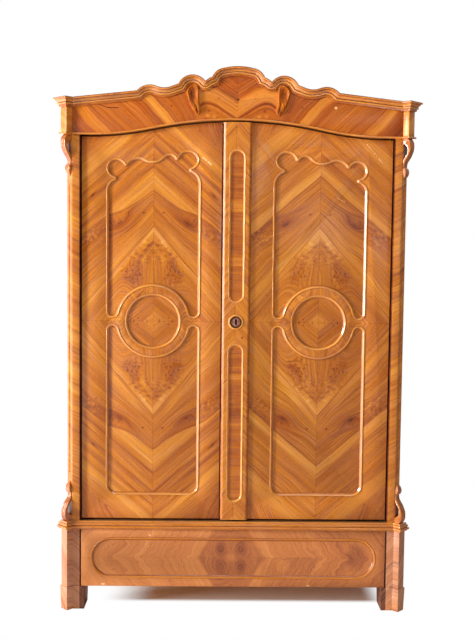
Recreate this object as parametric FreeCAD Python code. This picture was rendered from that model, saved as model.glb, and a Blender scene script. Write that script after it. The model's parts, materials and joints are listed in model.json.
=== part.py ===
"""A veneered two-door kas cupboard on feet, with one long drawer, an arched frieze and a scalloped crown.

Millimetres, +Z up. The front faces -Y and the origin is on the floor, at the middle of the plan.
Pieces are drawn with y = 0 at the front face of the corner stiles and moved to the origin when saved.
"""

import FreeCAD
import Part
import math
import os

V = FreeCAD.Vector

# ---- driving sizes -------------------------------------------------------------------------------
# plan of the carcass
half_opening = 632.0        # centre line to the inner edge of a corner stile
stile_face_width = 31.0
chamfer_run = 23.0          # the corner is cut back this far, both ways
carcass_depth = 550.0       # stile face to the back
post_depth = 60.0
side_thickness = 25.0
# heights
foot_height = 97.0
base_height = 241.0
waist_height = 34.0
opening_height = 1570.0     # floor to the springing of the arch
arch_rise = 64.0
band_height = 8.0
frieze_height = 100.0       # band to crown, at the corner blocks
crown_height = 37.0
crest_rise = 129.0          # top of the crown at the blocks to the top of the middle arch
# diagonal blocks that stand on the chamfers of base and frieze
block_projection = 27.5
block_width = 39.0
# feet
foot_spread = 4.2           # the top of a foot stands this far outside the post
foot_toe_spread = 1.0
foot_inset = 17.0           # the foot reaches this far inwards past the post
foot_depth = 100.0
rear_foot_width = 90.0
rear_post_width = 60.0
back_thickness = 22.0
# doors
door_recess = 12.0          # stile face to door face
overlay_thickness = 6.0
leaf_thickness = 20.0
door_side_gap = 5.0
door_end_gap = 7.0          # above and below a leaf
field_margin = 91.5         # the stiles beside a field, on average
field_shift = 7.5           # the fields sit this much nearer to the meeting of the doors
field_foot = 99.0           # bottom of a leaf to its lower field
field_corner = 42.0
disc_height = 817.0         # bottom of a leaf to the middle of the disc
disc_radius = 113.0
ring_radius = 142.0
horn_gap = 12.0             # middle of the disc to the rounded ends of the fields
# lobed top of an upper field: its hump, valley and crest
lobe_width_shares = (-0.33, -0.03, 0.335)   # of the half width
lobe_drops = (78.0, 93.0, 61.0)             # below the head of a leaf
crest_end_share = 0.88      # of the radius, from the middle of a lobe to its cusp
hump_end_share = 0.84
# arcs beside the lobes: distances inwards from the side of the field and below the head of a leaf
inner_flank = ((0.0, 185.0), (13.0, 146.0), (39.0, 127.0), (15.0, 109.0), (6.5, 85.0), (45.0, 47.0))
outer_flank = ((1.0, 120.0), (34.0, 164.0), (11.0, 180.0), (0.0, 207.0))
bead_width = 12.0
bead_proud = 1.0
bead_clearance = 0.1
# cover strip over the meeting of the doors
strip_half_width = 57.0
strip_thickness = 11.0
strip_edge_flat = 2.0       # flat stretch between the rounded edge and the doors
strip_field_half_width = 33.0
strip_field_depth = 5.0
strip_bead_width = 8.0
strip_field_foot = 73.0     # bottom of the leaf to the lower field
strip_field_below = 89.0    # middle of the disc down to the lower field
strip_field_above = 79.0    # middle of the disc up to the upper field
strip_field_head = 50.0     # upper field to the springing of the arch
# escutcheon, keyhole and lock
escutcheon_radius = 31.0
escutcheon_hole_radius = 24.0
escutcheon_proud = 3.0
key_plate_thickness = 2.0
key_plate_boss_radius = 18.0
key_plate_boss_height = 1.5
keyhole_height = 21.0
keyhole_half_width = 4.4
keyhole_waist = 3.0
keyhole_foot_height = 6.0
key_slot_half_width = 6.0
key_slot_clearance = 1.5    # above and below the keyhole
lock_width = 90.0
lock_height = 100.0
lock_depth = 18.0
lock_wall = 2.0
bolt_bar_height = 15.0
bolt_bar_thickness = 6.0
bolt_bar_lift = 20.0        # keyhole to the middle of the bolt
lock_throw = 14.0
keep_width = 20.0
keep_setback = 1.0          # free edge of the left leaf to the keep
keep_clearance = 0.6
# door pivots
pivot_inset = 10.0          # edge of a leaf to its pivot
pivot_setback = 10.0        # door face to its pivot
pivot_pin_radius = 4.0
pivot_pin_clearance = 0.05
pivot_collar_radius = 6.5
pivot_plate_length = 50.0
pivot_plate_width = 16.0
pivot_plate_thickness = 3.0
pivot_pin_engagement = 12.0
pivot_hole_clearance = 1.0  # round the pin, in the wood behind a socket plate
# flush bolts behind the left leaf
rod_radius = 4.5
rod_clearance = 0.1
rod_inset = 43.0            # free edge of the leaf to the rod
rod_length = 134.0
rod_rest_gap = 4.0          # end of a drawn rod to the wood that it shoots into
rod_throw = 16.0
staple_width = 14.0
staple_height = 10.0
guide_plate_width = 28.0
guide_plate_thickness = 2.0
knob_radius = 6.75
knob_stem_radius = 3.6
bolt_hole_clearance = 1.0
# drawer
drawer_side_gap = 4.0
drawer_top_gap = 2.0
drawer_front_thickness = 24.0
drawer_field_end_margin = 38.0      # end of the front to the sunk field
drawer_field_edge_margin = 34.5     # upper and lower edge of the front to the sunk field
drawer_side_thickness = 14.0
drawer_side_drop = 11.0     # top edge of the front to the drawer sides
drawer_lift = 15.0          # bottom edge of the front to the drawer sides
drawer_side_inset = 10.0    # end of the front to the drawer sides
drawer_bottom_thickness = 8.0
drawer_bottom_lift = 6.0
groove_depth = 6.0
groove_clearance = 0.3
slide_clearance = 0.3
drawer_stop_gap = 0.5
runner_width = 22.0         # under a drawer side
guide_height = 60.0
# frieze, crown and ornaments
frieze_thickness = 14.0
band_projection = 6.0
arch_flat = 32.0            # level stretch of the arch beside the stile
arch_inner_run = 340.0      # centre line to where the arch turns from hollow to round
pin_hole_radius = 3.0
pin_hole_height = 82.0      # above the middle of the arch
stop_lip_drop = 8.0         # the door stop hangs this far below the top of a leaf
stop_lip_inset = 47.0       # stile to the end of the door stop
stop_gap = 0.5
# steps of the crown moulding: projection, and reach below the top edge
crown_steps = ((22.0, 8.0), (17.0, 13.0), (13.0, 19.0), (11.0, 29.0), (5.5, 35.0))
# top edge of the crown from the shoulder to the crest: shares of half_opening and of crest_rise
crown_shoulder_shares = (0.638, 0.225)
crown_scallop_shares = (
    ((0.566, 0.405), (0.516, 0.37)),
    ((0.473, 0.325), (0.427, 0.36)),
    ((0.378, 0.45),),
    ((0.28, 0.728), (0.209, 0.54)),
    ((0.188, 0.62), (0.166, 0.667)),
    ((0.133, 0.87), (0.095, 0.942)),
)
# steps of the waist moulding: projection, and from and to above the base
waist_steps = ((7.0, 0.0, 4.0), (13.5, 4.0, 15.0), (9.0, 15.0, 27.0), (4.0, 27.0, 34.0))
bracket_length = 166.0
bracket_reach = 36.0
bracket_width = 30.0
# outline of a bracket: shares of its reach and of its length
bracket_shoulder_share = 0.61
bracket_scroll_shares = ((0.87, 0.06), (1.0, 0.17), (0.93, 0.3), (0.61, 0.45),
                         (0.25, 0.56), (0.14, 0.63), (0.16, 0.705))
bracket_step_shares = (0.27, 0.715)
bracket_leaf_shares = ((0.41, 0.79), (0.36, 0.88), (0.0, 1.0))
bracket_hollow_top_share = 0.13
bracket_hollow_shares = ((0.4, 0.17), (0.64, 0.27), (0.52, 0.38), (0.2, 0.48), (0.0, 0.54))
drop_thickness = 14.0
# outline of a carved drop: across from the hump above it, and down from the crown moulding
drop_start = (-31.0, 31.0)
drop_head = ((-22.0, 13.0), (-7.0, 2.0), (5.0, 0.5), (16.0, 11.0), (20.0, 27.0))
drop_leaf = ((20.0, 60.0), (27.0, 90.0), (26.0, 110.0), (15.0, 121.0),
             (2.0, 110.0), (-13.0, 88.0), (-23.0, 62.0), (-31.0, 31.0))
drop_bowl = (17.0, 11.2, 42.0)      # half sizes of its hollow
drop_bowl_place = (-4.0, 48.0)
drop_bowl_rise = 1.0                # middle of the hollow in front of the drop
flute_radius = 6.0
flute_offset = 2.0
flute_clearance = 37.0      # tip of a bracket to the flute
# inside
hat_space_height = 310.0    # hat shelf to the top board
shelf_thickness = 20.0
cleat_size = 20.0
cleat_setback = 40.0
rail_drop = 80.0            # underside of the shelf to the clothes rail
rail_radius = 14.0
rail_clearance = 0.3
socket_radius = 24.0
socket_thickness = 12.0
socket_floor = 4.0
top_thickness = 20.0
# panelled back
back_stile_width = 90.0
back_rail_height = 100.0
back_panel_thickness = 8.0
back_tongue = 9.0
back_clearance = 0.5

# ---- places that follow from the sizes -----------------------------------------------------------
SQ = math.sqrt(0.5)
MITRE = math.tan(math.radians(22.5))

stile_edge = half_opening + stile_face_width
side_plane = stile_edge + chamfer_run
side_inner = side_plane - side_thickness
back_inner = carcass_depth - back_thickness
rear_post_front = carcass_depth - rear_post_width
base_top = foot_height + base_height
floor_top = base_top + waist_height
springing = floor_top + opening_height
block_foot = springing + band_height
crown_foot = block_foot + frieze_height
crown_top = crown_foot + crown_height
crest_top = crown_top + crest_rise

block_a = (stile_edge, 0.0)
block_b = (stile_edge + SQ * block_projection, -SQ * block_projection)
block_c = (block_b[0] + SQ * block_width, block_b[1] + SQ * block_width)
block_d = (side_plane, block_c[1] + block_c[0] - side_plane)
chamfer_middle = (stile_edge + chamfer_run / 2, chamfer_run / 2)

crown_reach = -block_b[1] + crown_steps[0][0] / SQ
crown_cut = stile_edge - MITRE * crown_steps[0][0]
origin_shift = (crown_reach - carcass_depth) / 2
bracket_tip = springing - bracket_length
drop_hump = crown_scallop_shares[3][0]

door_face = door_recess
board_face = door_face + overlay_thickness
door_back = board_face + leaf_thickness
leaf_outer = half_opening - door_side_gap
leaf_foot = floor_top + door_end_gap
leaf_head = springing - door_end_gap
left_leaf_free = -(strip_half_width + door_side_gap)
field_half_width = (leaf_outer + left_leaf_free) / 2 - field_margin
field_centre = (leaf_outer - left_leaf_free) / 2 - field_shift
disc_centre = leaf_foot + disc_height
strip_face = door_face - strip_thickness
strip_rounding = strip_thickness - strip_edge_flat
plate_floor_y = strip_face + strip_field_depth
bolt_bar_y = door_back + lock_depth / 2
bolt_bar_z = disc_centre + bolt_bar_lift

pivot_x = leaf_outer - pivot_inset
pivot_y = door_face + pivot_setback
rod_x = left_leaf_free - rod_inset
rod_y = door_back + guide_plate_thickness + staple_width / 2

drawer_face_half = half_opening - drawer_side_gap
drawer_front_top = base_top - drawer_top_gap
drawer_middle = (foot_height + drawer_front_top) / 2
drawer_field_radius = (drawer_front_top - foot_height) / 2 - drawer_field_edge_margin
drawer_field_reach = drawer_face_half - drawer_field_end_margin - drawer_field_radius
drawer_outer = drawer_face_half - drawer_side_inset
drawer_side_inner = drawer_outer - drawer_side_thickness
drawer_side_foot = foot_height + drawer_lift
drawer_side_top = drawer_front_top - drawer_side_drop
drawer_floor = drawer_side_foot + drawer_bottom_lift
drawer_end = back_inner - drawer_stop_gap

shelf_z = crown_foot - top_thickness - hat_space_height - shelf_thickness
rail_z = shelf_z - rail_drop
rail_y = (post_depth + back_inner) / 2


# ---- drawing helpers -----------------------------------------------------------------------------
def block(x0, x1, y0, y1, z0, z1):
    """A rectangular board between two corners."""
    return Part.makeBox(x1 - x0, y1 - y0, z1 - z0, V(x0, y0, z0))


def plan_prism(points, z0, z1):
    """An upright prism over a plan outline."""
    corners = [V(x, y, z0) for x, y in points]
    face = Part.Face(Part.makePolygon(corners + corners[:1]))
    return face.extrude(V(0, 0, z1 - z0))


def front_prism(face, y0, y1):
    """A face drawn in the plane y = 0, given thickness from y0 to y1."""
    solid = face.extrude(V(0, y1 - y0, 0))
    solid.translate(V(0, y0, 0))
    return solid


def mirrored(shape):
    """The same piece for the other side of the cupboard."""
    return shape.mirror(V(0, 0, 0), V(1, 0, 0))


def pair(shape):
    """A right-hand piece and its left-hand twin."""
    return Part.makeCompound([shape, mirrored(shape)])


def fused(shapes):
    """One solid from several that touch."""
    whole = shapes[0]
    for shape in shapes[1:]:
        whole = whole.fuse(shape)
    return whole.removeSplitter()


def inset(face, distance):
    """The face with its outline moved inwards."""
    return face.makeOffset2D(-distance, 0, False, False, True)


def rod(radius, x, y, z0, z1):
    """A round upright rod."""
    return Part.makeCylinder(radius, z1 - z0, V(x, y, z0))


def front_disc(radius, x, z, y0, y1):
    """A round piece that faces the front."""
    return Part.makeCylinder(radius, y1 - y0, V(x, y0, z), V(0, 1, 0))


class Outline:
    """A closed outline in the front plane, drawn point by point as (across, up)."""

    def __init__(self, across, up):
        self.first = V(across, 0, up)
        self.last = self.first
        self.edges = []

    def line(self, across, up):
        end = V(across, 0, up)
        self.edges.append(Part.makeLine(self.last, end))
        self.last = end
        return self

    def arc(self, through, end):
        middle = V(through[0], 0, through[1])
        finish = V(end[0], 0, end[1])
        self.edges.append(Part.Arc(self.last, middle, finish).toShape())
        self.last = finish
        return self

    def reach(self, points):
        """A line to one point, or an arc through the first of two."""
        if len(points) == 1:
            return self.line(*points[0])
        return self.arc(*points)

    def spline(self, points):
        places = [self.last] + [V(x, 0, z) for x, z in points]
        curve = Part.BSplineCurve()
        curve.interpolate(places)
        self.edges.append(curve.toShape())
        self.last = places[-1]
        return self

    def face(self):
        if self.last.distanceToPoint(self.first) > 1e-6:
            self.line(self.first.x, self.first.z)
        return Part.Face(Part.Wire(self.edges))


def stadium(x, half_width, z0, z1):
    """A tall oblong with round ends, facing the front."""
    outline = Outline(x - half_width, z0 + half_width)
    outline.arc((x, z0), (x + half_width, z0 + half_width))
    outline.line(x + half_width, z1 - half_width)
    outline.arc((x, z1), (x - half_width, z1 - half_width))
    return outline.face()


# ---- outlines that several pieces share ----------------------------------------------------------
def wrap(offset, back):
    """Outer side of a moulding that goes round a corner block and back along the side."""
    return [
        (block_a[0] - MITRE * offset, -offset),
        (block_b[0], block_b[1] - offset / SQ),
        (block_c[0] + offset / SQ, block_c[1]),
        (side_plane + offset, block_d[1] + MITRE * offset),
        (side_plane + offset, back),
    ]


def arch_region(drop, foot):
    """The door opening under the ogee arch, its top lowered by drop, down to foot."""
    half_run = half_opening - arch_flat
    turn = 2 * math.atan(arch_rise / half_run)
    outer_radius = (half_run - arch_inner_run) / math.sin(turn)
    side_z = springing - drop
    top_z = side_z + arch_rise
    half_turn = turn / 2
    hollow = (half_run - outer_radius * math.sin(half_turn),
              side_z + outer_radius * (1 - math.cos(half_turn)))
    joint = (arch_inner_run, side_z + outer_radius * (1 - math.cos(turn)))
    far = side_plane + block_width
    outline = Outline(-far, foot)
    outline.line(far, foot)
    outline.line(far, side_z)
    outline.line(half_run, side_z)
    outline.arc(hollow, joint)
    outline.arc((0, top_z), (-joint[0], joint[1]))
    outline.arc((-hollow[0], hollow[1]), (-half_run, side_z))
    outline.line(-far, side_z)
    return outline.face()


def crown_point(shares):
    """A point of the top edge of the crown, on the left half."""
    return (-shares[0] * half_opening, crown_top + shares[1] * crest_rise)


def crown_region():
    """The front below the scalloped top edge of the crown."""
    far = side_plane + block_width
    shoulder = crown_point(crown_shoulder_shares)
    slope = (shoulder[1] - crown_top) / (stile_edge + shoulder[0])
    far_z = crown_top - slope * (far - stile_edge)
    steps = [[crown_point(shares) for shares in step] for step in crown_scallop_shares]
    outline = Outline(-far, far_z)
    outline.line(*shoulder)
    for step in steps:
        outline.reach(step)
    haunch = steps[-1][-1]
    outline.arc((0, crest_top), (-haunch[0], haunch[1]))
    starts = [shoulder] + [step[-1] for step in steps[:-1]]
    for step, start in reversed(list(zip(steps, starts))):
        outline.reach([(-x, z) for x, z in step[:-1] + [start]])
    outline.line(far, far_z)
    outline.line(far, springing)
    outline.line(-far, springing)
    return outline.face()


def horn(side, up):
    """Where the rounded end of a field touches the ring: its centre, radius and touching point."""
    half = field_half_width
    a = 1.0
    b = 2 * (horn_gap - half - ring_radius)
    c = half ** 2 + horn_gap ** 2 - ring_radius ** 2
    radius = (-b - math.sqrt(b * b - 4 * a * c)) / (2 * a)
    centre = (-field_centre + side * (half - radius), disc_centre + up * (horn_gap + radius))
    share = ring_radius / (ring_radius + radius)
    touch_x = -field_centre + share * (centre[0] + field_centre)
    touch_z = disc_centre + share * (centre[1] - disc_centre)
    return centre, radius, (touch_x, touch_z)


def horn_end(centre, radius, up):
    """The point of a rounded end that lies nearest to the level line through the disc."""
    return (centre[0], centre[1] - up * radius)


def lower_field():
    """The sunk field below the disc of the left leaf."""
    foot = leaf_foot + field_foot
    left = -field_centre - field_half_width
    right = -field_centre + field_half_width
    bite = field_corner * (1 - SQ)
    centre_l, radius, touch_l = horn(-1, -1)
    centre_r, radius, touch_r = horn(1, -1)
    outline = Outline(left, centre_l[1])
    outline.line(left, foot + field_corner)
    outline.arc((left + bite, foot + bite), (left + field_corner, foot))
    outline.line(right - field_corner, foot)
    outline.arc((right - bite, foot + bite), (right, foot + field_corner))
    outline.line(right, centre_r[1])
    outline.arc(horn_end(centre_r, radius, -1), touch_r)
    outline.arc((-field_centre, disc_centre - ring_radius), touch_l)
    outline.arc(horn_end(centre_l, radius, -1), (left, centre_l[1]))
    return outline.face()


def wave(hump, valley, crest):
    """Three arcs that run smoothly through a hump, a valley and a crest, as (centre, radius) each."""
    first_sum = ((valley[0] - hump[0]) ** 2 + (hump[1] - valley[1]) ** 2) / (2 * (hump[1] - valley[1]))
    second_sum = ((crest[0] - valley[0]) ** 2 + (crest[1] - valley[1]) ** 2) / (2 * (crest[1] - valley[1]))
    hump_radius = first_sum / 2
    valley_radius = first_sum - hump_radius
    crest_radius = second_sum - valley_radius
    return [((hump[0], hump[1] - hump_radius), hump_radius),
            ((valley[0], valley[1] + valley_radius), valley_radius),
            ((crest[0], crest[1] - crest_radius), crest_radius)]


def touching(first, second):
    """Where two of those arcs meet."""
    (x0, z0), radius0 = first
    (x1, z1), radius1 = second
    share = radius0 / (radius0 + radius1)
    return (x0 + share * (x1 - x0), z0 + share * (z1 - z0))


def above(circle, x):
    """The upper point of a circle at a place across the front."""
    (x0, z0), radius = circle
    return (x, z0 + math.sqrt(radius ** 2 - (x - x0) ** 2))


def upper_field():
    """The sunk field above the disc of the left leaf, with its lobed top."""
    half = field_half_width
    left = -field_centre - half
    right = -field_centre + half
    centre_l, radius, touch_l = horn(-1, 1)
    centre_r, radius, touch_r = horn(1, 1)
    lobes = zip(lobe_width_shares, lobe_drops)
    hump, valley, crest = [(-field_centre + share * half, leaf_head - drop) for share, drop in lobes]
    humps = wave(hump, valley, crest)
    crest_cusp = above(humps[2], crest[0] + crest_end_share * humps[2][1])
    hump_cusp = above(humps[0], hump[0] - hump_end_share * humps[0][1])
    inner = [(right - run, leaf_head - drop) for run, drop in inner_flank]
    outer = [(left + run, leaf_head - drop) for run, drop in outer_flank]
    outline = Outline(left, centre_l[1])
    outline.arc(horn_end(centre_l, radius, 1), touch_l)
    outline.arc((-field_centre, disc_centre + ring_radius), touch_r)
    outline.arc(horn_end(centre_r, radius, 1), (right, centre_r[1]))
    outline.line(*inner[0])
    outline.arc(inner[1], inner[2])
    outline.arc(inner[3], inner[4])
    outline.arc(inner[5], crest_cusp)
    outline.arc(crest, touching(humps[2], humps[1]))
    outline.arc(valley, touching(humps[1], humps[0]))
    outline.arc(hump, hump_cusp)
    outline.arc(outer[0], outer[1])
    outline.arc(outer[2], outer[3])
    return outline.face()


def disc_field():
    """The round sunk field of the left leaf."""
    circle = Part.makeCircle(disc_radius, V(-field_centre, 0, disc_centre), V(0, -1, 0))
    return Part.Face(Part.Wire(circle))


def bead_ring(field, width, floor_y, face_y, proud):
    """A stepped bead that lines the inner edge of a sunk field."""
    outer = inset(field, bead_clearance)
    middle = inset(field, width / 2)
    inner = inset(field, width)
    crest = front_prism(outer.cut(middle), face_y - proud, floor_y)
    slope = front_prism(middle.cut(inner), (face_y + floor_y) / 2, floor_y)
    return fused([crest, slope])


# ---- feet and base -------------------------------------------------------------------------------
def front_foot():
    def section(spread, z):
        inner = half_opening - foot_inset - spread + foot_toe_spread
        points = [(inner, -spread)] + wrap(spread, foot_depth) + [(inner, foot_depth)]
        corners = [V(x, y, z) for x, y in points]
        return Part.makePolygon(corners + corners[:1])
    return Part.makeLoft([section(foot_toe_spread, 0), section(foot_spread, foot_height)], True, True)


def rear_foot():
    inner = side_plane - rear_foot_width
    return block(inner, side_plane, carcass_depth - rear_foot_width, carcass_depth, 0, foot_height)


def base_front_post():
    points = [(half_opening, 0)] + wrap(0, post_depth) + [(half_opening, post_depth)]
    return plan_prism(points, foot_height, base_top)


def base_rear_post():
    inner = side_plane - rear_post_width
    return block(inner, side_plane, rear_post_front, carcass_depth, foot_height, base_top)


def base_side():
    return block(side_inner, side_plane, post_depth, rear_post_front, foot_height, base_top)


def base_back():
    reach = side_plane - rear_post_width
    return block(-reach, reach, back_inner, carcass_depth, foot_height, base_top)


def drawer_runner():
    """The rail that a drawer side rests on, with a guide beside it."""
    top = drawer_side_foot - slide_clearance
    guide_x = drawer_outer + slide_clearance
    guide_top = top + guide_height
    runner = block(drawer_outer - runner_width, side_inner, post_depth, rear_post_front, foot_height, top)
    guide = block(guide_x, side_inner, post_depth, rear_post_front, foot_height, guide_top)
    return fused([runner, guide])


def carcass_floor():
    right = [(stile_edge, 0), (side_plane, chamfer_run), (side_plane, carcass_depth)]
    left = [(-x, y) for x, y in reversed(right)]
    board = plan_prism(right + left, base_top, floor_top)
    hole_radius = pivot_pin_radius + pivot_hole_clearance
    hole_foot = floor_top - pivot_plate_thickness - pivot_pin_engagement
    for side in (-1, 1):
        board = board.cut(pivot_plate(side, floor_top - pivot_plate_thickness))
        board = board.cut(rod(hole_radius, side * pivot_x, pivot_y, hole_foot, floor_top))
    return board.cut(rod(rod_radius + bolt_hole_clearance, rod_x, rod_y,
                         floor_top - rod_throw - rod_rest_gap, floor_top))


def waist_front():
    return fused([
        block(-(stile_edge - MITRE * out), stile_edge - MITRE * out, -out, 0, base_top + low, base_top + high)
        for out, low, high in waist_steps
    ])


def waist_side():
    steps = []
    for out, low, high in waist_steps:
        inner = [(side_plane, carcass_depth), (side_plane, chamfer_run), (stile_edge, 0),
                 (stile_edge - MITRE * out, 0)]
        steps.append(plan_prism(wrap(out, carcass_depth) + inner, base_top + low, base_top + high))
    return fused(steps)


# ---- drawer --------------------------------------------------------------------------------------
def drawer_field():
    radius = drawer_field_radius
    reach = drawer_field_reach
    outline = Outline(-reach, drawer_middle - radius)
    outline.line(reach, drawer_middle - radius)
    outline.arc((reach + radius, drawer_middle), (reach, drawer_middle + radius))
    outline.line(-reach, drawer_middle + radius)
    outline.arc((-reach - radius, drawer_middle), (-reach, drawer_middle - radius))
    return outline.face()


def drawer_bottom(clearance):
    """The bottom board, or with a clearance the grooves that it lies in."""
    reach = drawer_side_inner + groove_depth + clearance
    front = drawer_front_thickness - groove_depth - clearance
    low = drawer_floor - clearance / 2
    high = drawer_floor + drawer_bottom_thickness + clearance / 2
    return block(-reach, reach, front, drawer_end, low, high)


def drawer_front():
    half = drawer_face_half
    board = block(-half, half, 0, drawer_front_thickness, foot_height, drawer_front_top)
    board = board.cut(front_prism(drawer_field(), 0, overlay_thickness))
    return board.cut(drawer_bottom(groove_clearance))


def drawer_side():
    board = block(drawer_side_inner, drawer_outer, drawer_front_thickness, drawer_end,
                  drawer_side_foot, drawer_side_top)
    return board.cut(drawer_bottom(groove_clearance))


def drawer_back():
    low = drawer_floor + drawer_bottom_thickness + groove_clearance / 2
    return block(-drawer_side_inner, drawer_side_inner, drawer_end - drawer_side_thickness, drawer_end,
                 low, drawer_side_top)


# ---- carcass -------------------------------------------------------------------------------------
def corner_stile():
    points = [(half_opening, 0), (stile_edge, 0), (side_plane, chamfer_run),
              (side_plane, post_depth), (half_opening, post_depth)]
    post = plan_prism(points, floor_top, springing)
    x = chamfer_middle[0] + SQ * flute_offset
    y = chamfer_middle[1] - SQ * flute_offset
    low = floor_top + bracket_length + flute_clearance
    high = bracket_tip - flute_clearance
    post = post.cut(rod(flute_radius, x, y, low, high))
    for z in (low, high):
        post = post.cut(Part.makeSphere(flute_radius, V(x, y, z)))
    return post


def side_panel():
    return block(side_inner, side_plane, post_depth, carcass_depth, floor_top, crown_foot)


def back_openings():
    """Corners of the panel openings of the back, as (left, right, low, high)."""
    outer = side_inner - back_stile_width
    middle = back_stile_width / 2
    centre = (floor_top + crown_foot) / 2
    low = (floor_top + back_rail_height, centre - back_rail_height / 2)
    high = (centre + back_rail_height / 2, crown_foot - back_rail_height)
    return [(x0, x1, z0, z1) for x0, x1 in ((-outer, -middle), (middle, outer)) for z0, z1 in (low, high)]


def back_panel_space(opening, extra):
    x0, x1, z0, z1 = opening
    grow = back_tongue + extra
    middle = carcass_depth - back_thickness / 2
    half = (back_panel_thickness + extra) / 2
    return block(x0 - grow, x1 + grow, middle - half, middle + half, z0 - grow, z1 + grow)


def back_member(x0, x1, z0, z1):
    member = block(x0, x1, back_inner, carcass_depth, z0, z1)
    for opening in back_openings():
        member = member.cut(back_panel_space(opening, back_clearance))
    return member


def back_stile():
    return back_member(side_inner - back_stile_width, side_inner, floor_top, crown_foot)


def back_rails():
    reach = side_inner - back_stile_width
    centre = (floor_top + crown_foot) / 2
    spans = [(floor_top, floor_top + back_rail_height),
             (centre - back_rail_height / 2, centre + back_rail_height / 2),
             (crown_foot - back_rail_height, crown_foot)]
    return Part.makeCompound([back_member(-reach, reach, low, high) for low, high in spans])


def back_muntins():
    half = back_stile_width / 2
    spans = sorted({(low, high) for _, _, low, high in back_openings()})
    return Part.makeCompound([back_member(-half, half, low, high) for low, high in spans])


def back_panels():
    return Part.makeCompound([back_panel_space(opening, 0) for opening in back_openings()])


def top_board():
    return block(-side_inner, side_inner, post_depth, back_inner, crown_foot - top_thickness, crown_foot)


# ---- frieze and crown ----------------------------------------------------------------------------
def arch_top_at(x):
    """Height of the underside of the arch above a place across the front."""
    slice_there = block(x - 1, x + 1, 0, 1, floor_top, crest_top)
    return front_prism(arch_region(0, floor_top), 0, 1).common(slice_there).BoundBox.ZMax


def head_rail():
    """The rail above the doors, with a lip below it that stops them."""
    lip_drop = door_end_gap + stop_lip_drop
    opening = front_prism(arch_region(0, floor_top), 0, post_depth)
    lip_end = half_opening - stop_lip_inset
    body = block(-half_opening, half_opening, frieze_thickness, post_depth, springing - lip_drop, crown_foot)
    body = body.cut(front_prism(arch_region(0, floor_top), 0, door_back + stop_gap))
    body = body.cut(front_prism(arch_region(lip_drop, floor_top), 0, post_depth))
    body = body.cut(opening.common(pair(block(lip_end, half_opening, 0, post_depth, floor_top, crest_top))))
    hole_radius = pivot_pin_radius + pivot_hole_clearance
    hole_top = springing + pivot_plate_thickness + pivot_pin_engagement
    for side in (-1, 1):
        body = body.cut(pivot_plate(side, springing))
        body = body.cut(rod(hole_radius, side * pivot_x, pivot_y, springing, hole_top))
    return body.cut(rod(rod_radius + bolt_hole_clearance, rod_x, rod_y,
                        springing - lip_drop, arch_top_at(rod_x) + rod_throw))


def frieze_board():
    reach = crown_steps[0][1]
    board = front_prism(inset(crown_region(), reach), 0, frieze_thickness)
    board = board.common(block(-stile_edge, stile_edge, 0, frieze_thickness, springing, crest_top))
    under_corner = block(crown_cut, stile_edge, 0, frieze_thickness, crown_top - reach, crest_top)
    board = board.cut(pair(under_corner))
    board = board.cut(front_prism(arch_region(-band_height, floor_top), 0, frieze_thickness))
    hole_z = springing + arch_rise + pin_hole_height
    return board.cut(front_disc(pin_hole_radius, 0, hole_z, 0, frieze_thickness))


def frieze_block():
    points = wrap(0, post_depth) + [(half_opening, post_depth), (half_opening, frieze_thickness),
                                    (stile_edge, frieze_thickness)]
    return plan_prism(points, block_foot, crown_foot)


def frieze_band():
    region = arch_region(-band_height, floor_top).cut(arch_region(0, floor_top))
    cut_x = stile_edge - MITRE * band_projection
    front = front_prism(region, -band_projection, frieze_thickness)
    front = front.common(block(-cut_x, cut_x, -band_projection, frieze_thickness, springing, crest_top))
    outer = wrap(band_projection, carcass_depth)
    inner = [(side_plane, carcass_depth), (side_plane, post_depth), (half_opening, post_depth),
             (half_opening, frieze_thickness), (cut_x, frieze_thickness)]
    return Part.makeCompound([front, pair(plan_prism(outer + inner, springing, block_foot))])


def crown_front():
    whole = crown_region()
    layers = []
    upper = whole
    back = frieze_thickness
    for out, reach in crown_steps:
        lower = inset(whole, reach)
        room = block(-crown_cut, crown_cut, -out, back, crown_foot - crown_height, crest_top)
        layers.append(front_prism(upper.cut(lower), -out, back).common(room))
        upper = lower
        back = 0
    return fused(layers)


def crown_corner():
    """The crown over a corner block and along the side."""
    behind = [(side_inner, carcass_depth), (side_inner, post_depth), (half_opening, post_depth),
              (half_opening, frieze_thickness)]
    beside = [(crown_cut, frieze_thickness)]
    steps = []
    high = crown_top
    for out, reach in crown_steps:
        low = max(crown_top - reach, crown_foot)
        if reach == crown_steps[-1][1]:
            low = crown_foot
        steps.append(plan_prism(wrap(out, carcass_depth) + behind + beside + [(crown_cut, -out)], low, high))
        beside = [(stile_edge, frieze_thickness), (stile_edge, 0), (crown_cut, 0)]
        high = low
    return fused(steps)


def carved_drop():
    """A hollowed leaf that hangs from the second hump of the crown, on the left."""
    reach = crown_steps[-1][1]
    middle, hump_top = crown_point(drop_hump)
    top = hump_top - reach

    def placed(points):
        return [(middle + x, top - down) for x, down in points]

    outline = Outline(*placed([drop_start])[0])
    outline.spline(placed(drop_head))
    outline.spline(placed(drop_leaf))
    body = front_prism(outline.face(), -drop_thickness, 0)
    shape = FreeCAD.Matrix()
    shape.scale(*drop_bowl)
    bowl = Part.makeSphere(1.0).transformGeometry(shape)
    across, up = placed([drop_bowl_place])[0]
    bowl.translate(V(across, -drop_thickness - drop_bowl_rise, up))
    moulding = front_prism(crown_region(), -drop_thickness, 0)
    clear = front_prism(inset(crown_region(), reach + bead_clearance), -drop_thickness, 0)
    return body.cut(bowl).cut(moulding.cut(clear))


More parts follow.
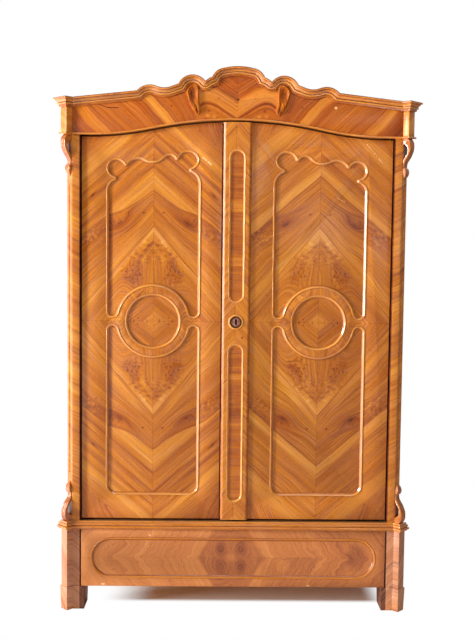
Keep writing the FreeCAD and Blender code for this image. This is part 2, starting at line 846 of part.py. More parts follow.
def scroll_bracket():
    """A carved scroll on the right-hand chamfer, hanging from the band."""
    def placed(points):
        return [(out * bracket_reach, -down * bracket_length) for out, down in points]

    outline = Outline(0, 0)
    outline.line(bracket_shoulder_share * bracket_reach, 0)
    outline.spline(placed(bracket_scroll_shares))
    outline.line(*placed([bracket_step_shares])[0])
    outline.spline(placed(bracket_leaf_shares))
    body = front_prism(outline.face(), -bracket_width / 2, bracket_width / 2)
    hollow = Outline(0, -bracket_hollow_top_share * bracket_length)
    hollow.spline(placed(bracket_hollow_shares))
    body = body.cut(front_prism(hollow.face(), -bracket_width / 2, bracket_width / 2))
    body.rotate(V(0, 0, 0), V(0, 0, 1), -45)
    body.translate(V(chamfer_middle[0], chamfer_middle[1], springing))
    return body


def lower_bracket():
    middle = (springing + floor_top) / 2
    return scroll_bracket().mirror(V(0, 0, middle), V(0, 0, 1))


# ---- doors ---------------------------------------------------------------------------------------
def pivot_plate(side, low):
    """A pivot plate, let into wood on the left (-1) or right (1)."""
    x0, x1 = sorted((side * leaf_outer, side * (leaf_outer - pivot_plate_length)))
    return block(x0, x1, board_face, board_face + pivot_plate_width, low, low + pivot_plate_thickness)


def leaf_outline(x0, x1, y0, y1):
    region = front_prism(arch_region(door_end_gap, leaf_foot), y0, y1)
    return region.common(block(x0, x1, y0, y1, leaf_foot, crest_top))


def door_board(side, x0, x1):
    board = leaf_outline(x0, x1, board_face, door_back)
    board = board.cut(pivot_plate(side, leaf_foot))
    return board.cut(pivot_plate(side, leaf_head - pivot_plate_thickness))


def left_fields():
    return [upper_field(), lower_field(), disc_field()]


def left_door_frame():
    frame = leaf_outline(-leaf_outer, left_leaf_free, door_face, board_face)
    for field in left_fields():
        frame = frame.cut(front_prism(field, door_face, board_face))
    return frame


def right_door_frame():
    frame = leaf_outline(-strip_half_width, leaf_outer, door_face, board_face)
    for field in left_fields():
        frame = frame.cut(mirrored(front_prism(field, door_face, board_face)))
    return frame.cut(key_slot(door_face, board_face))


def door_beads():
    return Part.makeCompound([
        bead_ring(field, bead_width, board_face, door_face, bead_proud) for field in left_fields()
    ])


def key_slot(y0, y1):
    """The way for the key through the wood behind the keyhole plate."""
    half = keyhole_height / 2 + key_slot_clearance
    return block(-key_slot_half_width, key_slot_half_width, y0, y1, disc_centre - half, disc_centre + half)


def strip_fields():
    half = strip_field_half_width
    lower = stadium(0, half, leaf_foot + strip_field_foot, disc_centre - strip_field_below)
    upper = stadium(0, half, disc_centre + strip_field_above, springing - strip_field_head)
    return [lower, upper]


def cover_strip():
    strip = leaf_outline(-strip_half_width, strip_half_width, strip_face, door_face)
    edges = [edge for edge in strip.Edges
             if edge.BoundBox.XLength < 1e-3 and edge.BoundBox.ZLength > lock_height
             and edge.BoundBox.YMax < strip_face + 1e-3]
    strip = strip.makeFillet(strip_rounding, edges)
    for field in strip_fields():
        strip = strip.cut(front_prism(field, strip_face, plate_floor_y))
    strip = strip.cut(front_disc(escutcheon_hole_radius, 0, disc_centre, strip_face, plate_floor_y))
    return strip.cut(key_slot(strip_face, door_face))


def strip_beads():
    return Part.makeCompound([
        bead_ring(field, strip_bead_width, plate_floor_y, strip_face, bead_proud) for field in strip_fields()
    ])


def escutcheon_ring():
    front = strip_face - escutcheon_proud
    ring = front_disc(escutcheon_radius, 0, disc_centre, front, strip_face)
    ring = ring.cut(front_disc(escutcheon_hole_radius, 0, disc_centre, front, strip_face))
    rim = [edge for edge in ring.Edges if edge.BoundBox.YMax < front + 1e-3 and len(edge.Vertexes) == 1]
    return ring.makeFillet(escutcheon_proud * 0.8, rim)


def keyhole(y0, y1):
    low = disc_centre - keyhole_height / 2
    high = disc_centre + keyhole_height / 2
    head = front_disc(keyhole_half_width, 0, high - keyhole_half_width, y0, y1)
    waist = block(-keyhole_waist, keyhole_waist, y0, y1, low, high - keyhole_half_width)
    foot = block(-keyhole_half_width, keyhole_half_width, y0, y1, low, low + keyhole_foot_height)
    return fused([head, waist, foot])


def keyhole_plate():
    front = plate_floor_y - key_plate_thickness
    boss_front = front - key_plate_boss_height
    plate = front_disc(escutcheon_hole_radius - bead_clearance, 0, disc_centre, front, plate_floor_y)
    boss = front_disc(key_plate_boss_radius, 0, disc_centre, boss_front, front)
    return fused([plate, boss]).cut(keyhole(boss_front, plate_floor_y))


def bolt_passage(x0, x1, clearance):
    half_t = bolt_bar_thickness / 2 + clearance
    half_h = bolt_bar_height / 2 + clearance
    return block(x0, x1, bolt_bar_y - half_t, bolt_bar_y + half_t, bolt_bar_z - half_h, bolt_bar_z + half_h)


def lock_case():
    x0 = -strip_half_width
    x1 = x0 + lock_width
    y1 = door_back + lock_depth
    z0 = disc_centre - lock_height / 2
    z1 = disc_centre + lock_height / 2
    wall = lock_wall
    case = block(x0, x1, door_back, y1, z0, z1)
    case = case.cut(block(x0 + wall, x1 - wall, door_back + wall, y1 - wall, z0 + wall, z1 - wall))
    case = case.cut(key_slot(door_back, door_back + wall))
    return case.cut(bolt_passage(x0, x0 + wall, slide_clearance))


def lock_bolt():
    x1 = lock_width - strip_half_width - lock_wall - lock_throw
    return bolt_passage(-strip_half_width, x1, 0)


def lock_keep():
    x1 = left_leaf_free - keep_setback
    x0 = x1 - keep_width
    low = bolt_bar_z - bolt_bar_height
    high = bolt_bar_z + bolt_bar_height
    keep = block(x0, x1, door_back, bolt_bar_y + bolt_bar_thickness, low, high)
    return keep.cut(bolt_passage(x0, x1, keep_clearance))


def door_pivot(side):
    """Plate, collar and pin at the foot of a leaf, and a plate with a pin at its head."""
    x = side * pivot_x
    collar = rod(pivot_collar_radius, x, pivot_y, floor_top + slide_clearance, leaf_foot)
    pin = rod(pivot_pin_radius, x, pivot_y, floor_top - pivot_pin_engagement, leaf_foot)
    foot = fused([pivot_plate(side, leaf_foot), collar, pin])
    head_low = leaf_head - pivot_plate_thickness
    head_pin = rod(pivot_pin_radius, x, pivot_y, head_low, springing + pivot_pin_engagement)
    head = fused([pivot_plate(side, head_low), head_pin])
    return Part.makeCompound([foot, head])


def pivot_sockets():
    plates = []
    radius = pivot_pin_radius + pivot_pin_clearance
    for side in (-1, 1):
        for low in (floor_top - pivot_plate_thickness, springing):
            hole = rod(radius, side * pivot_x, pivot_y, low, low + pivot_plate_thickness)
            plates.append(pivot_plate(side, low).cut(hole))
    return Part.makeCompound(plates)


def top_rod_end():
    return arch_top_at(rod_x) - door_end_gap - stop_lip_drop - rod_rest_gap


def bottom_rod_end():
    return floor_top + rod_rest_gap


def flush_bolt(end, direction):
    """A rod with a thumb knob; its end points up (1) or down (-1)."""
    low, high = sorted((end, end - direction * rod_length))
    shaft = rod(rod_radius, rod_x, rod_y, low, high)
    knob_z = end - direction * rod_length / 2
    stem = Part.makeCylinder(knob_stem_radius, staple_width, V(rod_x, rod_y, knob_z), V(0, 1, 0))
    knob = Part.makeSphere(knob_radius, V(rod_x, rod_y + staple_width, knob_z))
    return fused([shaft, stem, knob])


def bolt_guide(end, direction):
    """Backplate with two staples that a rod slides in."""
    near = end - direction * (door_end_gap + staple_height)
    far = end - direction * (rod_length - staple_height)
    low, high = sorted((near, far))
    front = door_back + guide_plate_thickness
    back = rod_y + staple_width / 2
    half_plate = guide_plate_width / 2
    half_staple = staple_width / 2
    parts = [block(rod_x - half_plate, rod_x + half_plate, door_back, front, low, high)]
    for z in (low, high - staple_height):
        parts.append(block(rod_x - half_staple, rod_x + half_staple, front, back, z, z + staple_height))
    return fused(parts).cut(rod(rod_radius + rod_clearance, rod_x, rod_y, low, high))


# ---- inside --------------------------------------------------------------------------------------
def hat_shelf():
    front = post_depth + cleat_setback
    return block(-side_inner, side_inner, front, back_inner, shelf_z, shelf_z + shelf_thickness)


def shelf_cleat():
    inner = side_inner - cleat_size
    return block(inner, side_inner, post_depth + cleat_setback, back_inner, shelf_z - cleat_size, shelf_z)


def level_rod(radius, x0, x1):
    """A round piece along the clothes rail."""
    return Part.makeCylinder(radius, x1 - x0, V(x0, rail_y, rail_z), V(1, 0, 0))


def clothes_rail():
    reach = side_inner - socket_floor
    return level_rod(rail_radius, -reach, reach)


def rail_socket():
    inner = side_inner - socket_thickness
    hole_end = side_inner - socket_floor + rail_clearance
    socket = level_rod(socket_radius, inner, side_inner)
    return socket.cut(level_rod(rail_radius + rail_clearance, inner, hole_end))


# ---- write every piece ---------------------------------------------------------------------------
def save(name, shape):
    shape.translate(V(0, origin_shift, 0))
    shape.exportStep("parts/" + name + ".step")


def save_sides(name, shape):
    """A right-hand piece and its twin, each in a node of its own."""
    save(name + "_left", mirrored(shape))
    save(name + "_right", shape)


os.makedirs("parts", exist_ok=True)

save_sides("front_foot", front_foot())
save("rear_feet", pair(rear_foot()))
save_sides("base_front_post", base_front_post())
save("base_rear_posts", pair(base_rear_post()))
save("base_sides", pair(base_side()))
save("base_back", base_back())
save("drawer_runners", pair(drawer_runner()))
save("waist_moulding_front", waist_front())
save("waist_moulding_sides", pair(waist_side()))
save("carcass_floor", carcass_floor())

save("drawer_front", drawer_front())
save("drawer_bead", bead_ring(drawer_field(), bead_width, overlay_thickness, 0, bead_proud))
save("drawer_sides", pair(drawer_side()))
save("drawer_back", drawer_back())
save("drawer_bottom", drawer_bottom(0))

save_sides("corner_stile", corner_stile())
save_sides("side_panel", side_panel())
save("back_stiles", pair(back_stile()))
save("back_rails", back_rails())
save("back_muntins", back_muntins())
save("back_panels", back_panels())
save("top_board", top_board())
save("head_rail", head_rail())

save("frieze_board", frieze_board())
save_sides("frieze_block", frieze_block())
save("frieze_band", frieze_band())
save("crown_front", crown_front())
save_sides("crown_corner", crown_corner())
save("carved_drops", pair(carved_drop()))
save("upper_brackets", pair(scroll_bracket()))
save("lower_brackets", pair(lower_bracket()))

save("left_door_board", door_board(-1, -leaf_outer, left_leaf_free))
save("left_door_frame", left_door_frame())
save("left_door_beads", door_beads())
save("left_door_pivots", door_pivot(-1))
save("lock_keep", lock_keep())
save("top_bolt", flush_bolt(top_rod_end(), 1))
save("bottom_bolt", flush_bolt(bottom_rod_end(), -1))
save("bolt_guides", Part.makeCompound([bolt_guide(top_rod_end(), 1), bolt_guide(bottom_rod_end(), -1)]))

save("right_door_board", door_board(1, -strip_half_width, leaf_outer).cut(key_slot(board_face, door_back)))
save("right_door_frame", right_door_frame())
save("right_door_beads", mirrored(door_beads()))
save("right_door_pivots", door_pivot(1))
save("cover_strip", cover_strip())
save("strip_beads", strip_beads())
save("escutcheon_ring", escutcheon_ring())
save("keyhole_plate", keyhole_plate())
save("lock_case", lock_case())
save("lock_bolt", lock_bolt())

save("pivot_sockets", pivot_sockets())
save("hat_shelf", hat_shelf())
save("shelf_cleats", pair(shelf_cleat()))
save("clothes_rail", clothes_rail())
save("rail_sockets", pair(rail_socket()))
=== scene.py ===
"""Looks of a veneered two-door kas cupboard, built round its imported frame.

Metres, +Z up, the front faces -Y. Sizes inside the classes are in millimetres: across and up from the middle
of the floor, and back from the front face of the corner stiles, as a maker would set them out.
"""

import json
import logging
import math
from collections.abc import Callable, Sequence
from dataclasses import dataclass, field
from enum import Enum
from functools import partial

import bmesh
import bpy
import numpy as np
from mathutils import Matrix, Vector

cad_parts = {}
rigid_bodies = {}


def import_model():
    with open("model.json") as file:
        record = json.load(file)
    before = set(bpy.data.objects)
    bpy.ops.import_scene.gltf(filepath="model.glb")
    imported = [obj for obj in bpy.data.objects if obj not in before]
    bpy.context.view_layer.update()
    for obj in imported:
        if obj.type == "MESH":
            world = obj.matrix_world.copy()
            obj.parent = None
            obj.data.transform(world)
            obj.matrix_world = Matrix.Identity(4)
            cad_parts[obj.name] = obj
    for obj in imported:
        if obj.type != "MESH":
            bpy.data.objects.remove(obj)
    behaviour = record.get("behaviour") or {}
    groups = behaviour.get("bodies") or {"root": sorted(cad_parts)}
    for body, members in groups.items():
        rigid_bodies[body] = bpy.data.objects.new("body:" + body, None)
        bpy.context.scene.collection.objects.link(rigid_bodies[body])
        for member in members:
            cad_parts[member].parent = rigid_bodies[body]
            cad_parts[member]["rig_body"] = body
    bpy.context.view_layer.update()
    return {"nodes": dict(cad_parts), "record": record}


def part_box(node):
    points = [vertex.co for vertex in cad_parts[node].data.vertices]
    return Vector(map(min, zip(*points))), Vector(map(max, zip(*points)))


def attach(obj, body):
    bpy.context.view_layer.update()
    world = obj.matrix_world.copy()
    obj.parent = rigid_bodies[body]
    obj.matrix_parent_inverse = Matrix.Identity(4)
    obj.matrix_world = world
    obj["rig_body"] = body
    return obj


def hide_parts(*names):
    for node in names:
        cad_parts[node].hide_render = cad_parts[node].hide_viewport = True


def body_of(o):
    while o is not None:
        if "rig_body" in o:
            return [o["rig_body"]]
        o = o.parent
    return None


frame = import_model()

LOG = logging.getLogger("kas_cupboard")
MM = 0.001
FACE_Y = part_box("corner_stile_left")[0][1]
SQ = math.sqrt(0.5)
MITRE = math.tan(math.radians(22.5))
Point = tuple[float, float]
Place = tuple[float, float, float]
Colours = tuple[tuple[float, tuple[int, int, int]], ...]
Spots = tuple[tuple[Point, Point, float], ...]
Edges = list[bmesh.types.BMEdge]


def place(across: float, back: float, up: float) -> Vector:
    """Turn millimetres from the stile faces into a place in the frame."""
    return Vector((across * MM, FACE_Y + back * MM, up * MM))


class Side(Enum):
    """Which half of the cupboard a piece belongs to."""

    LEFT = -1
    RIGHT = 1


# ---- outlines ----------------------------------------------------------------------------------------------
@dataclass
class Station:
    """One point of an outline, the way inwards from it and how far a moulding can follow that way."""

    spot: Vector
    inwards: Vector
    limit: float = 0.0

    def at(self, depth: float) -> Vector:
        """The point that lies this far inside the outline."""
        return self.spot + self.inwards * min(depth, self.limit)


class Outline:
    """A line of straight runs and arcs on the front, as points across and up."""

    flatness = 0.08
    widest_step = math.radians(7.5)
    fan_from = math.radians(70.0)
    fan_step = math.radians(15.0)

    def __init__(self, across: float, up: float) -> None:
        """Start the line at a point."""
        self.points = [Vector((across, up))]

    def line(self, across: float, up: float) -> "Outline":
        """Go straight to a point."""
        self.points.append(Vector((across, up)))
        return self

    def arc(self, through: Point, end: Point) -> "Outline":
        """Go round an arc.

        Args:
            through: a point in the middle of the arc.
            end: the last point of the arc.

        Returns:
            The outline itself.
        """
        first, middle, last = self.points[-1], Vector(through), Vector(end)
        a, b = middle - first, last - first
        twice = 2.0 * (a.x * b.y - a.y * b.x)
        centre = first + Vector((b.y * a.dot(a) - a.y * b.dot(b), a.x * b.dot(b) - b.x * a.dot(a))) / twice
        radius = (first - centre).length
        spokes = [math.atan2(p.y - centre.y, p.x - centre.x) for p in (first, middle, last)]
        full = 2.0 * math.pi
        turn = (spokes[2] - spokes[0]) % full
        if (spokes[1] - spokes[0]) % full > turn:
            turn -= full
        step = min(self.widest_step, 2.0 * math.acos(max(0.0, 1.0 - self.flatness / radius)))
        count = max(2, math.ceil(abs(turn) / step))
        for index in range(1, count):
            angle = spokes[0] + turn * index / count
            self.points.append(centre + radius * Vector((math.cos(angle), math.sin(angle))))
        self.points.append(last)
        return self

    def reach(self, points: Sequence[Point]) -> "Outline":
        """Go straight to one point, or round an arc through the first of two."""
        return self.line(*points[0]) if len(points) == 1 else self.arc(*points)

    def stations(self, depth: float, closed: bool, inside: int = 1) -> list[Station]:
        """Work out how a moulding follows the line.

        Args:
            depth: the furthest that the moulding reaches inwards.
            closed: whether the line runs back to its start.
            inside: 1 if the inner side is on the left of the line, -1 if it is on the right.

        Returns:
            A station for each point, with fans of them at the sharpest inner corners.
        """
        points = [p for p, q in zip(self.points, self.points[1:]) if (p - q).length > 1e-4]
        if not closed or (self.points[-1] - self.points[0]).length > 1e-4:
            points.append(self.points[-1])
        found = []
        for index, spot in enumerate(points):
            arms = []
            if closed or index:
                arms.append(spot - points[index - 1])
            if closed or index + 1 < len(points):
                arms.append(points[(index + 1) % len(points)] - spot)
            ways = [Vector((-arm.y, arm.x)).normalized() * inside for arm in arms]
            first, last = ways[0], ways[-1]
            turn = math.atan2(first.x * last.y - first.y * last.x, first.dot(last))
            if turn * inside < -self.fan_from:
                count = math.ceil(abs(turn) / self.fan_step)
                fan = [Matrix.Rotation(turn * k / count, 2) @ first for k in range(count + 1)]
                found += [Station(spot, way) for way in fan]
            else:
                found.append(Station(spot, (first + last) / (1.0 + first.dot(last))))
        self._limit(found, points, depth, closed)
        return found

    @staticmethod
    def _limit(found: list[Station], points: list[Vector], depth: float, closed: bool) -> None:
        """Stop each station where its way inwards meets that of another part of the line.

        Args:
            found: the stations, whose limits are set.
            points: the points of the line.
            depth: the furthest that the moulding reaches inwards.
            closed: whether the line runs back to its start.
        """
        starts = np.array(points)
        ends = np.roll(starts, -1, axis=0)
        if not closed:
            starts, ends = starts[:-1], ends[:-1]
        runs = ends - starts
        squares = (runs ** 2).sum(axis=1)
        spots = np.array([s.spot for s in found])
        ways = np.array([s.inwards for s in found])
        low, high = np.zeros(len(found)), np.full(len(found), depth)
        reach = high
        for _ in range(14):
            here = spots + ways * reach[:, None]
            offset = here[:, None, :] - starts[None]
            share = np.clip((offset * runs[None]).sum(axis=2) / squares, 0.0, 1.0)
            gaps = np.linalg.norm(offset - share[..., None] * runs[None], axis=2).min(axis=1)
            clear = gaps >= reach * 0.985 - 0.03
            low, high = np.where(clear, reach, low), np.where(clear, high, reach)
            reach = (low + high) / 2.0
        for station, limit in zip(found, np.where(high >= depth, depth, low)):
            station.limit = float(limit)


# ---- shapes ------------------------------------------------------------------------------------------------
def loft(shape: bmesh.types.BMesh, rings: Sequence[Sequence[Vector]], loop: bool,
         stack_loop: bool = False, marks: Sequence[float] = ()) -> tuple[Edges, Edges]:
    """Draw a row of points out through a stack of rows.

    Args:
        shape: the mesh that the surface is added to.
        rings: rows of places, all of the same length.
        loop: whether each row runs back to its start.
        stack_loop: whether the last row joins the first.
        marks: a value for each row, kept with its points for the finish to use.

    Returns:
        The edges of the first row and of the last.
    """
    layer = shape.verts.layers.int.get("station") or shape.verts.layers.int.new("station")
    kept = shape.verts.layers.float.get("mark") or shape.verts.layers.float.new("mark")
    marks = list(marks) + [0.0] * (len(rings) + 1 - len(marks))
    verts = [shape.verts.new(spot) for spot in rings[0]]
    for index, vert in enumerate(verts):
        vert[layer] = index
        vert[kept] = marks[0]
    pairs = zip(verts, verts[1:] + verts[:1]) if loop else zip(verts, verts[1:])
    first = edges = [shape.edges.new(pair) for pair in pairs]
    for level, ring in enumerate(list(rings[1:]) + ([rings[0]] if stack_loop else []), 1):
        grown = bmesh.ops.extrude_edge_only(shape, edges=edges)["geom"]
        fresh = {item for item in grown if isinstance(item, bmesh.types.BMVert)}
        for vert in fresh:
            vert.co = ring[vert[layer]]
            vert[kept] = marks[level % len(rings)]
        edges = [item for item in grown if isinstance(item, bmesh.types.BMEdge) and set(item.verts) <= fresh]
    return first, edges


def fill_between(shape: bmesh.types.BMesh, *rims: Edges) -> None:
    """Fill a flat face whose outline and holes are these closed rows of edges."""
    edges = [edge for rim in rims for edge in rim]
    bmesh.ops.triangle_fill(shape, use_beauty=True, use_dissolve=False, edges=edges)


def close_up(shape: bmesh.types.BMesh) -> None:
    """Merge what coincides, fill the open ends and turn the faces outwards.

    Args:
        shape: the mesh.
    """
    bmesh.ops.remove_doubles(shape, verts=shape.verts, dist=2e-6)
    bmesh.ops.dissolve_degenerate(shape, edges=shape.edges, dist=2e-6)
    rims = [edge for edge in shape.edges if edge.is_boundary]
    if rims:
        bmesh.ops.holes_fill(shape, edges=rims, sides=0)
    bmesh.ops.recalc_face_normals(shape, faces=shape.faces)


def lofted(rings: Sequence[Sequence[Vector]], loop: bool, stack_loop: bool = False,
           marks: Sequence[float] = ()) -> bmesh.types.BMesh:
    """A closed mesh of its own, drawn out as loft does.

    Args:
        rings: rows of places, all of the same length.
        loop: whether each row runs back to its start.
        stack_loop: whether the last row joins the first.
        marks: a value for each row, kept with its points.

    Returns:
        The closed mesh.
    """
    shape = bmesh.new()
    loft(shape, rings, loop, stack_loop, marks)
    close_up(shape)
    return shape


def pair_of(make: Callable[[Side], bmesh.types.BMesh]) -> bmesh.types.BMesh:
    """The left-hand piece and the right-hand piece in one mesh.

    Args:
        make: makes the piece of one side.

    Returns:
        A mesh with both pieces.
    """
    both = bmesh.new()
    for side in Side:
        part = bpy.data.meshes.new("part")
        make(side).to_mesh(part)
        both.from_mesh(part)
        bpy.data.meshes.remove(part)
    return both


def turned_on_lathe(profile: Sequence[Point], axis: Point, steps: int, hollow: bool) -> bmesh.types.BMesh:
    """A piece turned round an axis that runs front to back.

    Args:
        profile: its section, as distances from the axis and back from the stile faces.
        axis: where the axis lies, across and up.
        steps: faces round the piece.
        hollow: whether the section runs back to its start, as that of a ring does.

    Returns:
        The closed mesh.
    """
    shape = bmesh.new()
    across, up = axis
    verts = [shape.verts.new(place(across + radius, back, up)) for radius, back in profile]
    edges = [shape.edges.new(pair) for pair in zip(verts, verts[1:] + (verts[:1] if hollow else []))]
    bmesh.ops.spin(shape, geom=verts + edges, cent=place(across, 0.0, up), axis=(0.0, 1.0, 0.0),
                   angle=math.tau, steps=steps, use_merge=True)
    close_up(shape)
    return shape


def both_sides(rings: Sequence[Sequence[Vector]]) -> list[list[list[Vector]]]:
    """Rows of a right-hand piece, and the same rows for its left-hand twin."""
    turned = [[Vector((-spot.x, spot.y, spot.z)) for spot in ring] for ring in rings]
    return [list(map(list, rings)), turned]


def front_rings(stations: Sequence[Station], section: Sequence[Point]) -> list[list[Vector]]:
    """Rows of a moulding on the front.

    Args:
        stations: the line that the moulding follows.
        section: its section, as distances inwards from the line and back from the stile faces.

    Returns:
        One row for each point of the section.
    """
    rings = []
    for inwards, back in section:
        spots = [station.at(inwards) for station in stations]
        rings.append([place(spot.x, back, spot.y) for spot in spots])
    return rings


def run_bead(shape: bmesh.types.BMesh, line: Outline, section: Sequence[Point], twin: bool = False) -> None:
    """Run a bead along the inner side of a closed line.

    Args:
        shape: the mesh that the bead is added to.
        line: the line.
        section: section of the bead, as distances inwards from the line and back from the stile faces.
        twin: whether the bead is moved to the other side of the cupboard's middle.
    """
    rings = front_rings(line.stations(section[-1][0], closed=True), section)
    if twin:
        rings = both_sides(rings)[1]
    loft(shape, rings, loop=True, stack_loop=True, marks=[row[0] for row in section])


def worn_copy(node: str, width: float, segments: int = 2, sharper_than: float = 30.0) -> bmesh.types.BMesh:
    """A piece of the frame with its sharp edges rounded over.

    Args:
        node: the piece of the frame.
        width: how wide the rounding is, in millimetres.
        segments: faces across the rounding.
        sharper_than: edges that turn more than this many degrees are rounded.

    Returns:
        The mesh of the softened piece.
    """
    shape = bmesh.new()
    shape.from_mesh(frame["nodes"][node].data)
    bmesh.ops.remove_doubles(shape, verts=shape.verts, dist=1e-6)
    bmesh.ops.dissolve_limit(shape, angle_limit=math.radians(0.5), verts=shape.verts, edges=shape.edges,
                             use_dissolve_boundaries=False)
    limit = math.radians(sharper_than)
    edges = [edge for edge in shape.edges if edge.is_manifold and edge.calc_face_angle(0.0) > limit]
    bmesh.ops.bevel(shape, geom=edges, offset=width * MM, offset_type="OFFSET", affect="EDGES",
                    segments=segments, profile=0.5, material=-1, clamp_overlap=True)
    return shape


def add_piece(name: str, shape: bmesh.types.BMesh, body: str, finish: "Finish", nodes: Sequence[str],
              crease: float = 35.0) -> bpy.types.Object:
    """Make a finished piece that stands for pieces of the frame.

    Args:
        name: name of the new piece.
        shape: its mesh, in place.
        body: the moving body that it goes with.
        finish: its finish.
        nodes: pieces of the frame that it stands for.
        crease: edges that turn more than this many degrees stay crisp.

    Returns:
        The new object.
    """
    mesh = bpy.data.meshes.new(name)
    shape.to_mesh(mesh)
    shape.free()
    mesh.shade_smooth()
    mesh.set_sharp_from_angle(angle=math.radians(crease))
    mesh.materials.append(finish.material())
    piece = bpy.data.objects.new(name, mesh)
    bpy.context.collection.objects.link(piece)
    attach(piece, body)
    if nodes:
        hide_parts(*nodes)
    LOG.info("%s: %d faces", name, len(mesh.polygons))
    return piece


# ---- finishes ----------------------------------------------------------------------------------------------
Value = "Wire | float"


def paint(red: float, green: float, blue: float) -> tuple[float, float, float, float]:
    """A colour given as 0 to 255, as it looks on paper, for a shader.

    Args:
        red: level of red, from 0 to 255.
        green: level of green.
        blue: level of blue.

    Returns:
        The same colour as Blender keeps it.
    """
    parts = [part / 255.0 for part in (red, green, blue)]
    linear = [part / 12.92 if part <= 0.04045 else ((part + 0.055) / 1.055) ** 2.4 for part in parts]
    return (*linear, 1.0)


class Wire:
    """A value that changes over a surface: the output of a shader node, with arithmetic."""

    def __init__(self, tree: bpy.types.NodeTree, socket: bpy.types.NodeSocket) -> None:
        """Keep the socket and the tree that it is in."""
        self.tree = tree
        self.socket = socket

    def feed(self, socket: bpy.types.NodeSocket) -> None:
        """Lead the value into a socket."""
        self.tree.links.new(self.socket, socket)

    def work(self, operation: str, *others: Value) -> "Wire":
        """Combine the value with others by one of the Math node's operations.

        Args:
            operation: name of the operation.
            others: what it is combined with.

        Returns:
            The result.
        """
        node = self.tree.nodes.new("ShaderNodeMath")
        node.operation = operation
        for socket, value in zip(node.inputs, (self, *others)):
            if isinstance(value, Wire):
                value.feed(socket)
            else:
                socket.default_value = value
        return Wire(self.tree, node.outputs[0])

    def __add__(self, other: Value) -> "Wire":
        """The sum."""
        return self.work("ADD", other)

    def __sub__(self, other: Value) -> "Wire":
        """The difference."""
        return self.work("SUBTRACT", other)

    def __mul__(self, other: Value) -> "Wire":
        """The product."""
        return self.work("MULTIPLY", other)

    def __truediv__(self, other: Value) -> "Wire":
        """The quotient."""
        return self.work("DIVIDE", other)

    def __abs__(self) -> "Wire":
        """The value without its sign."""
        return self.work("ABSOLUTE")

    def rise(self, low: float, high: float) -> "Wire":
        """A soft step from 0 at low to 1 at high, which may lie below low.

        Args:
            low: where it starts.
            high: where it ends.

        Returns:
            The step.
        """
        node = self.tree.nodes.new("ShaderNodeMapRange")
        node.interpolation_type = "SMOOTHSTEP"
        ends = (low, high, 0.0, 1.0) if low < high else (high, low, 1.0, 0.0)
        for socket, value in zip(node.inputs[1:5], ends):
            socket.default_value = value
        self.feed(node.inputs[0])
        return Wire(self.tree, node.outputs[0])

    def within(self, low: float, high: float, soft: float) -> "Wire":
        """1 between low and high, with soft ends."""
        return self.rise(low - soft, low + soft) * self.rise(high + soft, high - soft)

    def blend(self, other: Value, share: "Wire") -> "Wire":
        """This value where share is 0, and the other where it is 1."""
        gap = other - self if isinstance(other, Wire) else (self - other) * -1.0
        return self + gap * share

    def mixed(self, other: "Wire", share: "Wire") -> "Wire":
        """This colour where share is 0, and the other where it is 1.

        Args:
            other: the other colour.
            share: how much of the other is taken.

        Returns:
            The mixture.
        """
        node = self.tree.nodes.new("ShaderNodeMix")
        node.data_type = "RGBA"
        share.feed(node.inputs[0])
        self.feed(node.inputs[6])
        other.feed(node.inputs[7])
        return Wire(self.tree, node.outputs[2])

    def curve(self, stops: Sequence[Point], smooth: bool = False) -> "Wire":
        """A value read from a curve with straight runs between its stops, or smoothed over them.

        Args:
            stops: places and values of the stops.
            smooth: whether the curve is smoothed over its stops.

        Returns:
            The value read.
        """
        low, high = stops[0][0], stops[-1][0]
        least = min(value for _, value in stops)
        span = max(value for _, value in stops) - least
        levels = [((at - low) / (high - low), (value - least) / span) for at, value in stops]
        ramp = self._ramp([(at, (level, level, level, 1.0)) for at, level in levels])
        ramp.color_ramp.interpolation = "B_SPLINE" if smooth else "LINEAR"
        ((self - low) / (high - low)).feed(ramp.inputs[0])
        return Wire(self.tree, ramp.outputs[0]) * span + least

    def tint(self, colours: Colours) -> "Wire":
        """A colour read from a row of colours, each with its place from 0 upwards.

        Args:
            colours: the colours and their places.

        Returns:
            The colour read.
        """
        top = colours[-1][0]
        ramp = self._ramp([(at / top, paint(*colour)) for at, colour in colours])
        (self / top).feed(ramp.inputs[0])
        return Wire(self.tree, ramp.outputs[0])

    def _ramp(self, stops: Sequence[tuple[float, tuple[float, ...]]]) -> bpy.types.Node:
        """A Color Ramp node with these stops.

        Args:
            stops: the stops, with places from 0 to 1.

        Returns:
            The node.
        """
        node = self.tree.nodes.new("ShaderNodeValToRGB")
        elements = node.color_ramp.elements
        while len(elements) < len(stops):
            elements.new(0.5)
        for element, (at, colour) in zip(elements, stops):
            element.position = at
            element.color = colour
        return node


